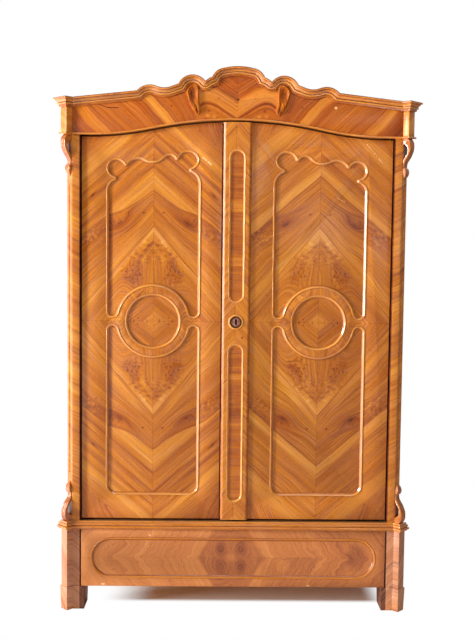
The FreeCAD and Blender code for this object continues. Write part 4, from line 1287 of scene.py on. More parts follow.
@dataclass(frozen=True)
class StileVeneer(PolishedWood):
    """Narrow pieces veneered across in slanting strips, and the cover strip with its sunk fields."""

    streaks: float = 0.22
    strip_height: float = 66.0
    strip_edge: Point = (80.0, 70.0)
    # Where the painted shadow behind the scrolls starts on the chamfer.
    shadowed_chamfer: Point = (668.0, 672.0)
    # Where the painted shade along the inner edges, beside the openings, lies.
    gap_shade_edge: Place = (600.0, 634.5, 0.6)
    nail: Spots = (((26.0, 1133.0), (5.0, 4.5), 0.4),)
    sunk_from: float = 3.5
    field_tones: tuple[Point, ...] = (
        (452.0, 0.48), (600.0, 0.50), (650.0, 0.46), (762.0, 0.47), (768.0, 0.58), (780.0, 0.58),
        (785.0, 0.38), (835.0, 0.38), (850.0, 0.45), (957.0, 0.44), (962.0, 0.60), (980.0, 0.60),
        (985.0, 0.46), (1107.0, 0.47), (1275.0, 0.47), (1418.0, 0.46), (1424.0, 0.60), (1460.0, 0.58),
        (1466.0, 0.40), (1480.0, 0.42), (1560.0, 0.46), (1638.0, 0.44), (1644.0, 0.61), (1688.0, 0.62),
        (1694.0, 0.43), (1892.0, 0.46),
    )

    def drawn(self, bench: Bench) -> Figure:
        """Base tone, value across the grain, value along it and seed.

        Args:
            bench: where the nodes are placed.

        Returns:
            The four values.
        """
        x, y, z = bench.place()
        on_strip = abs(x).rise(*self.strip_edge)
        sunk = y.rise(self.sunk_from, self.sunk_from + 0.6) * on_strip
        drift = bench.cloud(x / 70.0, z / 90.0, y / 90.0)
        steep = z.rise(345.0, 335.0) * 0.55 + 0.45
        slant = z - (abs(x) + y) * steep + drift * 8.0
        cells = (slant / self.strip_height).work("FLOOR")
        pieces = bench.pick(cells + x.work("SIGN") * 40.0) - 0.5
        edge = (slant / self.strip_height).work("FRACT").rise(0.0, 0.05)
        strip = z + abs(x + 6.0) * 1.05 + drift * 16.0
        tone = pieces * 0.16 + self.tone + (edge - 1.0) * 0.06
        joint = abs(x + 6.0).rise(1.1, 0.3)
        on_face = bench.noise(strip / 70.0, 0.0, 2.0, 1.0) * 0.16 + (self.tone - 0.10) - joint * 0.16
        tone = tone.blend(on_face, on_strip).blend(z.curve(self.field_tones) + drift * 0.05, sunk)
        across = slant.blend(strip, on_strip).blend(z * 0.8 + drift * 4.0, sunk)
        # Painted shadow on the chamfers, in the gap behind the scrolls.
        low, high = (SCROLLS.length * share for share in SCROLLS.gap)
        behind = (z * -1.0 + PLAN.springing).within(low, high, 4.0)
        behind = behind.work("MAXIMUM", (z - PLAN.floor_top).within(low, high, 4.0))
        tone = tone - behind * abs(x).rise(*self.shadowed_chamfer) * 0.5
        tone = bench.darkened(tone, x, z, self.nail)
        # Painted shade along the inner edges beside the openings, in the gaps round the doors.
        tone = tone - abs(x).within(*self.gap_shade_edge) * 0.45
        return tone, across, x + y, (x.work("SIGN") * 0.4).blend(0.0, sunk)


@dataclass(frozen=True)
class MouldingWood(PolishedWood):
    """Polished solid wood of the mouldings and beads, with painted light and shade in lines along it, where
    these are given: lighter on the rounds, darker in the quirks and at the foot of the beads, where old
    polish also lies.
    """

    streaks: float = 0.14
    bands: float = 0.08
    coat: float = 0.9
    coat_roughness: float = 0.1
    members: tuple[Point, ...] = ()

    def drawn(self, bench: Bench) -> Figure:
        """Base tone, value across the grain, value along it and seed.

        Args:
            bench: where the nodes are placed.

        Returns:
            The four values.
        """
        x, y, z = bench.place()
        patch = bench.cloud(x / 80.0, y / 80.0, z / 80.0)
        # Painted light and shade across the moulding, read from the kept distance across its section; the
        # darker lines also stand for old polish.
        lines = bench.mark().curve(self.members) if self.members else 0.0
        across, along = y * 2.0 + z * 0.5 + patch * 20.0, x * 0.7 + z * 0.7
        return patch * 0.14 + lines + self.tone, across, along, bench.fixed(0.0)


@dataclass(frozen=True)
class DropWood(PolishedWood):
    """Carved wood of the leaves below the crown, with painted shade in the hollow of each leaf."""

    streaks: float = 0.18
    bands: float = 0.08
    hollow_shade: Spots = (((182.0, 2104.0), (17.0, 42.0), 0.13), ((165.0, 2044.0), (8.0, 18.0), 0.10))

    def drawn(self, bench: Bench) -> Figure:
        """Base tone, value across the grain, value along it and seed.

        Args:
            bench: where the nodes are placed.

        Returns:
            The four values.
        """
        x, y, z = bench.place()
        u = abs(x)
        shake = bench.cloud(x / 7.0, z / 22.0, y / 9.0, 3.0, 0.6)
        # Painted shade in the hollows of the leaf.
        tone = bench.darkened(bench.fixed(self.tone), u + shake * 9.0, z, self.hollow_shade)
        return tone + shake * 0.5, u + y, z, x.work("SIGN") * 0.2


@dataclass(frozen=True)
class Iron(Finish):
    """Dark wrought iron, or with other colours the metal of the key plate."""

    colours: Colours = (
        (0.0, (28, 26, 25)), (0.6, (66, 62, 58)), (1.0, (112, 78, 56)))
    size: float = 9.0

    def shaded(self, bench: Bench, tone: Wire) -> Wire:
        """The tone as it is."""
        return tone

    def figure(self, bench: Bench) -> Surface:
        """Colour, height and roughness: stains and small dents.

        Args:
            bench: where the nodes are placed.

        Returns:
            The three values.
        """
        x, y, z = bench.place()
        stains = bench.noise(x / self.size, y / self.size, z / self.size, 4.0, 0.6)
        dents = bench.noise(x / 1.6, y / 1.6, z / 1.6, 2.0)
        age = bench.effect("age_and_polish")
        tone = self.shaded(bench, stains.rise(0.3, 0.75) * 0.8 + age["Wear"] * 0.3)
        return tone.tint(self.colours), dents * 0.5, stains * 0.25 + (self.roughness - 0.12)


@dataclass(frozen=True)
class KeyPlate(Iron):
    """The plate in its recess, darkened round its edge by patina and painted shade, and black in the keyhole
    by painted shade.
    """

    keyhole: tuple[Point, Point] = ((0.0, 1188.0), (0.0, 1204.0))

    def shaded(self, bench: Bench, tone: Wire) -> Wire:
        """The tone with patina and painted shade round the recess, and painted shade in the keyhole.

        Args:
            bench: where the nodes are placed.
            tone: the tone so far.

        Returns:
            The new tone.
        """
        x, _, z = bench.place()
        (across, low), (_, high) = self.keyhole
        up = z - (low + high) / 2.0
        away = (x * x + up * up).work("SQRT")
        hole = bench.stroke(x, z, (across, low), (across, high), 10.0).rise(0.0, 0.5)
        # Painted shade: black in the keyhole, and dark round the recess wall over the patina.
        return (tone * 0.5 + 0.45) * away.rise(24.0, 13.0) * (hole * -1.0 + 1.0)


RED_WOOD = (
    (0.0, (58, 14, 2)), (0.22, (124, 42, 4)), (0.42, (180, 84, 8)), (0.58, (210, 116, 20)),
    (0.76, (232, 148, 44)), (1.0, (250, 186, 90)), (1.3, (255, 246, 232)),
)
PALE_PINE = ((0.0, (110, 70, 34)), (0.3, (158, 112, 62)), (0.6, (196, 154, 98)), (1.0, (222, 188, 134)))
WORN_PINK = (
    (0.0, (78, 38, 24)), (0.3, (140, 88, 60)), (0.58, (208, 142, 106)), (0.8, (230, 174, 136)),
    (1.0, (248, 208, 172)),
)
OAK_BROWN = ((0.0, (60, 34, 14)), (0.3, (104, 66, 32)), (0.6, (146, 100, 56)), (1.0, (178, 134, 84)))
KEY_PLATE = ((0.0, (8, 3, 2)), (0.3, (96, 56, 44)), (0.6, (160, 104, 86)), (1.0, (214, 164, 138)))
# Painted light and shade across the crown moulding, by distance from its top edge: a dark line along the top,
# lighter rounds and darker quirks.
CROWN_LIGHT_AND_SHADE = (
    (0.0, -0.32), (2.5, -0.24), (4.5, 0.05), (6.5, 0.10), (8.6, -0.06), (10.4, -0.14), (12.4, 0.06),
    (15.0, 0.13), (17.5, 0.05), (19.5, -0.12), (21.5, -0.18), (23.5, 0.06), (26.0, 0.12), (28.0, 0.04),
    (30.0, -0.06), (33.0, -0.12), (36.0, -0.18),
)
# Painted light and shade across a bead, by distance from its outer edge: a lighter crest and a dark seam at
# its foot, where shade falls and old polish gathers.
BEAD_LIGHT_SHADE_AND_GRIME = (
    (0.0, -0.22), (0.8, -0.10), (1.8, 0.03), (3.2, 0.10), (6.5, 0.02), (9.0, -0.08), (10.6, -0.32),
    (12.0, -0.52),
)

DOOR_VENEER = DoorVeneer("book_matched_door_veneer", "door_veneer")
DRAWER_VENEER = DrawerVeneer("book_matched_drawer_veneer", "drawer_veneer", colours=PINK_WOOD)
FRIEZE_VENEER = FriezeVeneer("fanned_frieze_veneer", "frieze_veneer", colours=RED_WOOD)
STILE_VENEER = StileVeneer("cross_cut_stile_veneer", "stile_veneer", tone=0.6)
CROWN_WOOD = MouldingWood("polished_crown_moulding", "moulding_wood", tone=0.57, members=CROWN_LIGHT_AND_SHADE)
BLOCK_VENEER = StileVeneer("light_block_veneer", "stile_veneer", tone=0.70, streaks=0.16)
DROP_WOOD = DropWood("carved_drop_wood", "carved_wood", tone=0.46, coat=0.0, specular=0.18, hue=0.25)
FOOT_VENEER = StileVeneer("worn_foot_veneer", "stile_veneer", tone=0.60, coat=0.2, colours=WORN_PINK)
MOULDING_WOOD = MouldingWood("polished_moulding_wood", "moulding_wood", tone=0.61)
BEAD_WOOD = MouldingWood("polished_bead_wood", "moulding_wood", tone=0.68, hue=0.9, members=BEAD_LIGHT_SHADE_AND_GRIME)
DULL_BEAD_WOOD = MouldingWood("dull_bead_wood", "moulding_wood", tone=0.57, hue=0.9, coat=0.6,
                              members=BEAD_LIGHT_SHADE_AND_GRIME)
CARVED_WOOD = MouldingWood("carved_polished_wood", "carved_wood", tone=0.50)
SIDE_WOOD = PolishedWood("polished_side_wood", "side_wood", tone=0.44)
FRAME_WOOD = PolishedWood("planed_frame_wood", "frame_wood", roughness=0.6, coat=0.0, colours=OAK_BROWN,
                          hue=0.0)
PINE = PolishedWood("bare_pine", "pine", roughness=0.7, coat=0.0, colours=PALE_PINE, hue=0.0)
RING_WOOD = MouldingWood("turned_ring_wood", "moulding_wood", tone=0.70, coat=1.0, coat_roughness=0.2)
BRASS = KeyPlate("dull_key_plate", "brass", 0.45, 0.25, 0.5, colours=KEY_PLATE)
IRON = Iron("dark_iron", "iron", 0.5, 0.9, 0.5)


# ---- shared setting out ------------------------------------------------------------------------------------
@dataclass(frozen=True)
class Plan:
    """Sizes that several sub-assemblies share."""

    half_opening: float = 632.0
    stile_edge: float = 663.0
    side_plane: float = 686.0
    side_inner: float = 661.0
    carcass_depth: float = 550.0
    post_depth: float = 60.0
    block_projection: float = 27.5
    block_width: float = 39.0
    base_top: float = 338.0
    floor_top: float = 372.0
    springing: float = 1942.0
    arch_rise: float = 64.0
    arch_flat: float = 32.0
    arch_inner_run: float = 340.0
    crown_foot: float = 2050.0
    crown_top: float = 2087.0
    crest_rise: float = 129.0
    frieze_thickness: float = 14.0
    pin_hole: Point = (0.0, 2088.0)

    def wrap(self, offset: float, back: float) -> list[Point]:
        """Plan of a moulding that goes round a corner block and back along the side.

        Args:
            offset: how far the moulding stands out from the block.
            back: how far back it ends.

        Returns:
            Five points across and back, on the right-hand side.
        """
        nose = (self.stile_edge + SQ * self.block_projection, -SQ * self.block_projection)
        heel = (nose[0] + SQ * self.block_width, nose[1] + SQ * self.block_width)
        return [
            (self.stile_edge - MITRE * offset, -offset),
            (nose[0], nose[1] - offset / SQ),
            (heel[0] + offset / SQ, heel[1]),
            (self.side_plane + offset, heel[1] + heel[0] - self.side_plane + MITRE * offset),
            (self.side_plane + offset, back),
        ]

    def arch_radius(self) -> float:
        """Radius of the round middle of the arch.

        Returns:
            The radius.
        """
        half_run = self.half_opening - self.arch_flat
        turn = 2.0 * math.atan(self.arch_rise / half_run)
        hollow_radius = (half_run - self.arch_inner_run) / math.sin(turn)
        drop = self.arch_rise - hollow_radius * (1.0 - math.cos(turn))
        return (self.arch_inner_run ** 2 + drop ** 2) / (2.0 * drop)

    def arch(self, outline: Outline) -> Outline:
        """Draw the ogee arch over the doors, from its left springing to its right one.

        Args:
            outline: the line that the arch is added to.

        Returns:
            The same line.
        """
        half_run = self.half_opening - self.arch_flat
        turn = 2.0 * math.atan(self.arch_rise / half_run)
        radius = (half_run - self.arch_inner_run) / math.sin(turn)
        hollow = (half_run - radius * math.sin(turn / 2), self.springing + radius * (1 - math.cos(turn / 2)))
        joint = (self.arch_inner_run, self.springing + radius * (1 - math.cos(turn)))
        outline.line(-half_run, self.springing)
        outline.arc((-hollow[0], hollow[1]), (-joint[0], joint[1]))
        outline.arc((0.0, self.springing + self.arch_rise), joint)
        return outline.arc(hollow, (half_run, self.springing))


PLAN = Plan()


# ---- crown -------------------------------------------------------------------------------------------------
@dataclass
class Crown:
    """The scalloped moulding along the top and its corners."""

    section: tuple[Point, ...] = (
        (0.0, -19.6), (0.5, -21.0), (1.8, -22.0), (6.2, -22.0), (7.2, -21.6), (7.6, -20.6),
        (8.0, -19.5), (8.3, -17.0), (9.6, -16.6), (11.6, -15.4), (13.8, -13.6), (15.8, -12.1),
        (18.0, -11.2), (20.0, -10.8), (20.4, -7.6), (21.6, -7.4), (22.0, -10.1), (23.6, -10.9),
        (25.2, -10.9), (27.0, -10.1), (28.4, -8.4), (29.2, -6.2), (29.4, -5.4), (34.3, -5.4),
        (35.0, -4.8),
    )
    cut_at: float = 653.9
    ledge: float = 8.0
    shoulder: Point = (0.638, 0.225)
    scallops: tuple[tuple[Point, ...], ...] = (
        ((0.566, 0.405), (0.516, 0.37)),
        ((0.473, 0.325), (0.427, 0.36)),
        ((0.378, 0.45),),
        ((0.28, 0.728), (0.209, 0.54)),
        ((0.188, 0.62), (0.166, 0.667)),
        ((0.133, 0.87), (0.095, 0.942)),
    )

    def point(self, shares: Point) -> Point:
        """A point of the top edge on the left half."""
        return (-shares[0] * PLAN.half_opening, PLAN.crown_top + shares[1] * PLAN.crest_rise)

    def top_edge(self) -> Outline:
        """The scalloped top edge, from left to right.

        Returns:
            The line.
        """
        shoulder = self.point(self.shoulder)
        slope = (shoulder[1] - PLAN.crown_top) / (PLAN.stile_edge + shoulder[0])
        end = (self.cut_at, PLAN.crown_top + slope * (PLAN.stile_edge - self.cut_at))
        steps = [[self.point(shares) for shares in step] for step in self.scallops]
        outline = Outline(-end[0], end[1]).line(*shoulder)
        for step in steps:
            outline.reach(step)
        haunch = steps[-1][-1]
        outline.arc((0.0, PLAN.crown_top + PLAN.crest_rise), (-haunch[0], haunch[1]))
        starts = [shoulder] + [step[-1] for step in steps[:-1]]
        for step, start in reversed(list(zip(steps, starts))):
            outline.reach([(-x, z) for x, z in step[:-1] + [start]])
        return outline.line(*end)

    def front(self) -> bmesh.types.BMesh:
        """The moulding across the front.

        Returns:
            The closed mesh.
        """
        deepest = self.section[-1][0]
        stations = self.top_edge().stations(deepest, closed=False, inside=-1)
        for end in (stations[0], stations[-1]):
            end.inwards = Vector((0.0, -1.0 / abs(end.inwards.y)))
        back = [(deepest, 0.0), (self.ledge, 0.0), (self.ledge, PLAN.frieze_thickness),
                (0.0, PLAN.frieze_thickness)]
        rows = list(self.section) + back
        marks = [row[0] for row in rows]
        return lofted(front_rings(stations, rows), loop=False, stack_loop=True, marks=marks)

    def corners(self, side: Side) -> bmesh.types.BMesh:
        """The moulding round a corner block and along the side.

        Args:
            side: the half of the cupboard.

        Returns:
            The closed mesh.
        """
        behind = [(PLAN.side_inner, PLAN.carcass_depth), (PLAN.side_inner, PLAN.post_depth),
                  (PLAN.half_opening, PLAN.post_depth), (PLAN.half_opening, PLAN.frieze_thickness)]
        high = [(self.cut_at, PLAN.frieze_thickness)] * 3
        low = [(PLAN.stile_edge, PLAN.frieze_thickness), (PLAN.stile_edge, 0.0), (self.cut_at, 0.0)]
        steps = [(down, -back, high if down <= self.ledge else low) for down, back in self.section]
        steps.append((PLAN.crown_top - PLAN.crown_foot, -self.section[-1][1], low))
        rings = []
        for down, out, beside in steps:
            row = PLAN.wrap(out, PLAN.carcass_depth) + behind + beside + [(self.cut_at, -out)]
            rings.append([place(x * side.value, y, PLAN.crown_top - down) for x, y in row])
        return lofted(rings, loop=True, marks=[step[0] for step in steps])

    def build(self) -> None:
        """Make the mouldings of the crown."""
        add_piece("crown_front_moulding", self.front(), "carcass", CROWN_WOOD, ["crown_front"])
        for side in Side:
            name = side.name.lower()
            add_piece(f"crown_corner_moulding_{name}", self.corners(side), "carcass", CROWN_WOOD,
                      [f"crown_corner_{name}"])


@dataclass
class PinStub:
    """A dark iron stub set in the hole of the frieze so that the hole reads dark: it stands for the shade in
    the hole as well as for a broken pin.
    """

    profile: tuple[Point, ...] = (
        (0.0, 1.2), (1.6, 1.3), (2.4, 1.8), (2.8, 2.6), (2.8, 13.6), (2.3, 14.0), (0.0, 14.0))
    steps: int = 24

    def build(self) -> None:
        """Turn the stub."""
        shape = turned_on_lathe(self.profile, PLAN.pin_hole, self.steps, hollow=False)
        add_piece("broken_pin_stub", shape, "carcass", IRON, [])


@dataclass
class CarvedDrop:
    """A hollowed leaf that hangs from the second hump of the crown."""

    hump: Point = (-177.0, 2145.9)
    length: float = 121.0
    thickness: float = 14.0
    edges: tuple[tuple[float, float, float], ...] = (
        (0.0, 2.0, 9.0), (2.0, -7.0, 12.0), (6.0, -14.0, 14.5), (13.0, -22.0, 17.5),
        (22.0, -28.0, 19.4), (31.0, -31.0, 20.6), (44.0, -28.8, 20.4), (60.0, -23.6, 20.2),
        (76.0, -18.4, 22.2), (90.0, -12.4, 26.0), (102.0, -5.6, 27.4), (110.0, 2.0, 26.2),
        (116.0, 8.0, 22.6), (120.0, 12.0, 17.6), (121.0, 14.0, 16.0),
    )
    across_count: int = 24
    level_count: int = 42

    def width_at(self, down: float) -> Point:
        """Left and right edge of the leaf at a distance below its top.

        Args:
            down: distance below the top.

        Returns:
            The two edges, from the middle of the hump.
        """
        downs = [row[0] for row in self.edges]
        left = float(np.interp(down, downs, [row[1] for row in self.edges]))
        right = float(np.interp(down, downs, [row[2] for row in self.edges]))
        return left, right

    def relief(self, share: float, down: float) -> float:
        """How far the carved face stands out, from 0 to 1.

        Args:
            share: place across the leaf, -1 at its left edge and 1 at its right.
            down: distance below the top of the leaf.

        Returns:
            The height of the face as a share of the thickness.
        """
        body = (1.0 - share ** 4) ** 0.5
        bowl_depth = 0.82 * math.exp(-((down - 40.0) / 30.0) ** 2)
        bowl = bowl_depth * max(0.0, 1.0 - (share / 0.76) ** 2) ** 0.8
        fold = 0.28 * math.exp(-((share - 0.15) / 0.16) ** 2) * min(1.0, max(0.0, (down - 62.0) / 20.0))
        fade = min(1.0, (self.length - down) / 26.0 + 0.25) * min(1.0, down / 6.0 + 0.35)
        return max(0.08, (body * 0.95 - bowl - fold) * fade)

    def shape(self, side: Side) -> bmesh.types.BMesh:
        """The leaf as a closed mesh.

        Args:
            side: the half of the cupboard.

        Returns:
            The closed mesh.
        """
        rings = []
        for down in np.linspace(0.0, self.length, self.level_count):
            left, right = self.width_at(float(down))
            middle, half = (left + right) / 2.0, (right - left) / 2.0
            row = []
            for index in range(self.across_count + 1):
                share = math.sin(math.pi * (index / self.across_count - 0.5))
                out = self.thickness * self.relief(share, float(down))
                row.append((self.hump[0] + middle + share * half, -out))
            row += [(row[-1][0], 0.0), (row[0][0], 0.0)]
            rings.append([place(-x * side.value, y, self.hump[1] - down) for x, y in row])
        return lofted(rings, loop=True)

    def build(self) -> None:
        """Make the two leaves."""
        add_piece("carved_leaf_drops", pair_of(self.shape), "carcass", DROP_WOOD, ["carved_drops"],
                  crease=50.0)


# ---- frieze and waist --------------------------------------------------------------------------------------
@dataclass
class BandMouldings:
    """The thin band over the arch and the moulding between wardrobe and base."""

    band: tuple[Point, ...] = (
        (0.0, 2.0), (0.3, 4.0), (1.0, 5.2), (2.4, 6.0), (5.6, 6.0), (7.0, 5.2), (7.7, 4.0), (8.0, 2.0),
    )
    waist: tuple[Point, ...] = (
        (0.0, 6.4), (0.6, 7.0), (3.6, 7.0), (4.1, 9.0), (5.2, 11.4), (7.2, 13.0), (9.6, 13.5), (12.0, 13.0),
        (14.0, 11.4), (14.8, 9.6), (15.1, 7.6), (16.2, 8.3), (18.4, 9.0), (21.6, 9.0), (24.6, 8.3),
        (26.4, 6.8), (27.0, 4.6), (27.4, 4.0), (33.2, 4.0), (34.0, 3.2),
    )
    return_lap: float = 2.5

    def arch_band(self) -> bmesh.types.BMesh:
        """The band as far as the corner blocks, with its returns round the blocks.

        Returns:
            The mesh.
        """
        arch = PLAN.arch(Outline(-PLAN.stile_edge, PLAN.springing)).line(PLAN.stile_edge, PLAN.springing)
        line = arch.points
        shape = bmesh.new()
        height = self.band[-1][0]
        rows = list(self.band) + [(height, -PLAN.frieze_thickness), (0.0, -PLAN.frieze_thickness)]
        rings = []
        for up, out in rows:
            cut = MITRE * max(out, 0.0)
            ends = {0: cut, len(line) - 1: -cut}
            rings.append([place(p.x + ends.get(i, 0.0), -out, p.y + up) for i, p in enumerate(line)])
        loft(shape, rings, loop=False, stack_loop=True)
        behind = [(PLAN.side_plane, PLAN.carcass_depth), (PLAN.side_plane, PLAN.post_depth),
                  (PLAN.half_opening, PLAN.post_depth), (PLAN.half_opening, PLAN.frieze_thickness),
                  (PLAN.stile_edge - self.return_lap, PLAN.frieze_thickness)]
        rings = []
        for up, out in self.band:
            row = PLAN.wrap(out, PLAN.carcass_depth) + behind
            rings.append([place(x, y, PLAN.springing + up) for x, y in row])
        for turned in both_sides(rings):
            loft(shape, turned, loop=True)
        close_up(shape)
        return shape

    def waist_front(self) -> bmesh.types.BMesh:
        """The waist moulding between the corner blocks.

        Returns:
            The closed mesh.
        """
        rings = []
        for up, out in list(self.waist) + [(self.waist[-1][0], 0.0), (0.0, 0.0)]:
            end = PLAN.stile_edge - MITRE * out
            rings.append([place(x, -out, PLAN.base_top + up) for x in (-end, end)])
        return lofted(rings, loop=False, stack_loop=True)

    def waist_sides(self) -> bmesh.types.BMesh:
        """The waist moulding round the corner blocks and along the sides.

        Returns:
            The mesh.
        """
        behind = [(PLAN.side_plane, PLAN.carcass_depth), (PLAN.side_plane, PLAN.side_plane - PLAN.stile_edge),
                  (PLAN.stile_edge, 0.0)]
        shape = bmesh.new()
        rings = []
        for up, out in self.waist:
            row = PLAN.wrap(out, PLAN.carcass_depth) + behind
            rings.append([place(x, y, PLAN.base_top + up) for x, y in row])
        for turned in both_sides(rings):
            loft(shape, turned, loop=True)
        close_up(shape)
        return shape

    def build(self) -> None:
        """Make the band and the waist moulding."""
        add_piece("arch_band_moulding", self.arch_band(), "carcass", MOULDING_WOOD, ["frieze_band"])
        add_piece("waist_moulding_run", self.waist_front(), "carcass", MOULDING_WOOD,
                  ["waist_moulding_front"])
        add_piece("waist_moulding_returns", self.waist_sides(), "carcass", MOULDING_WOOD,
                  ["waist_moulding_sides"])


# ---- corner scrolls ----------------------------------------------------------------------------------------
@dataclass
class ScrollBrackets:
    """The carved scrolls on the chamfers, hanging from the band and, upside down, standing on the waist."""

    length: float = 166.0
    reach: float = 36.0
    width: float = 30.0
    reeds: int = 3
    reed_depth: float = 2.2
    curl_depth: float = 1.5
    curl_from: float = 0.7
    across_count: int = 24
    level_count: int = 61
    outer: tuple[Point, ...] = (
        (0.0, 0.61), (0.03, 0.76), (0.06, 0.87), (0.11, 0.965), (0.17, 1.0), (0.24, 0.985), (0.3, 0.93),
        (0.38, 0.78), (0.45, 0.61), (0.51, 0.41), (0.56, 0.25), (0.6, 0.17), (0.63, 0.14), (0.67, 0.135),
        (0.704, 0.155), (0.712, 0.27), (0.74, 0.35), (0.79, 0.41), (0.84, 0.41), (0.88, 0.36), (0.93, 0.24),
        (0.97, 0.11), (1.0, 0.02),
    )
    hollow: tuple[Point, ...] = (
        (0.128, 0.0), (0.13, 0.08), (0.14, 0.22), (0.17, 0.4), (0.22, 0.57), (0.27, 0.64), (0.32, 0.6),
        (0.38, 0.52), (0.43, 0.36), (0.48, 0.2), (0.52, 0.06), (0.54, 0.0),
    )
    gap: Point = (0.13, 0.52)
    widths: tuple[Point, ...] = (
        (0.0, 1.0), (0.45, 1.0), (0.6, 0.84), (0.7, 0.76), (0.712, 0.92), (0.8, 0.94), (0.9, 0.74),
        (1.0, 0.2),
    )

    def section(self, down: float) -> list[Point]:
        """One level of a scroll, as distances along the chamfer and out from it.

        Args:
            down: place along the scroll, from 0 at its thick end to 1.

        Returns:
            The points of the level.
        """
        front = float(np.interp(down, *zip(*self.outer))) * self.reach
        back = float(np.interp(down, *zip(*self.hollow))) * self.reach
        half = float(np.interp(down, *zip(*self.widths))) * self.width / 2.0
        reeded = down < self.curl_from
        lobes, carved = (self.reeds, self.reed_depth) if reeded else (1, self.curl_depth)
        depth = min(carved, (front - back) * 0.3)
        row = []
        for index in range(self.across_count + 1):
            share = index / self.across_count
            ridge = abs(math.sin(math.pi * lobes * share)) ** 0.6
            row.append(((share * 2.0 - 1.0) * half, front - depth * (1.0 - ridge)))
        return row + [(half, back), (-half, back)]

    def shape(self, upper: bool, side: Side) -> bmesh.types.BMesh:
        """One scroll in its place.

        Args:
            upper: whether the scroll hangs from the band.
            side: the half of the cupboard.

        Returns:
            The closed mesh.
        """
        middle_x = (PLAN.stile_edge + PLAN.side_plane) / 2.0
        middle_y = (PLAN.side_plane - PLAN.stile_edge) / 2.0
        rings = []
        for down in np.linspace(0.0, 1.0, self.level_count):
            up = PLAN.springing - down * self.length if upper else PLAN.floor_top + down * self.length
            row = []
            for along, out in self.section(float(down)):
                x = middle_x + SQ * (out + along)
                y = middle_y + SQ * (along - out)
                row.append(place(x * side.value, y, up))
            rings.append(row)
        return lofted(rings, loop=True)

    def build(self) -> None:
        """Make the four scrolls, a pair in each piece."""
        for upper, name in ((True, "upper"), (False, "lower")):
            add_piece(f"{name}_scroll_carvings", pair_of(partial(self.shape, upper)), "carcass", CARVED_WOOD,
                      [f"{name}_brackets"], crease=50.0)


SCROLLS = ScrollBrackets()


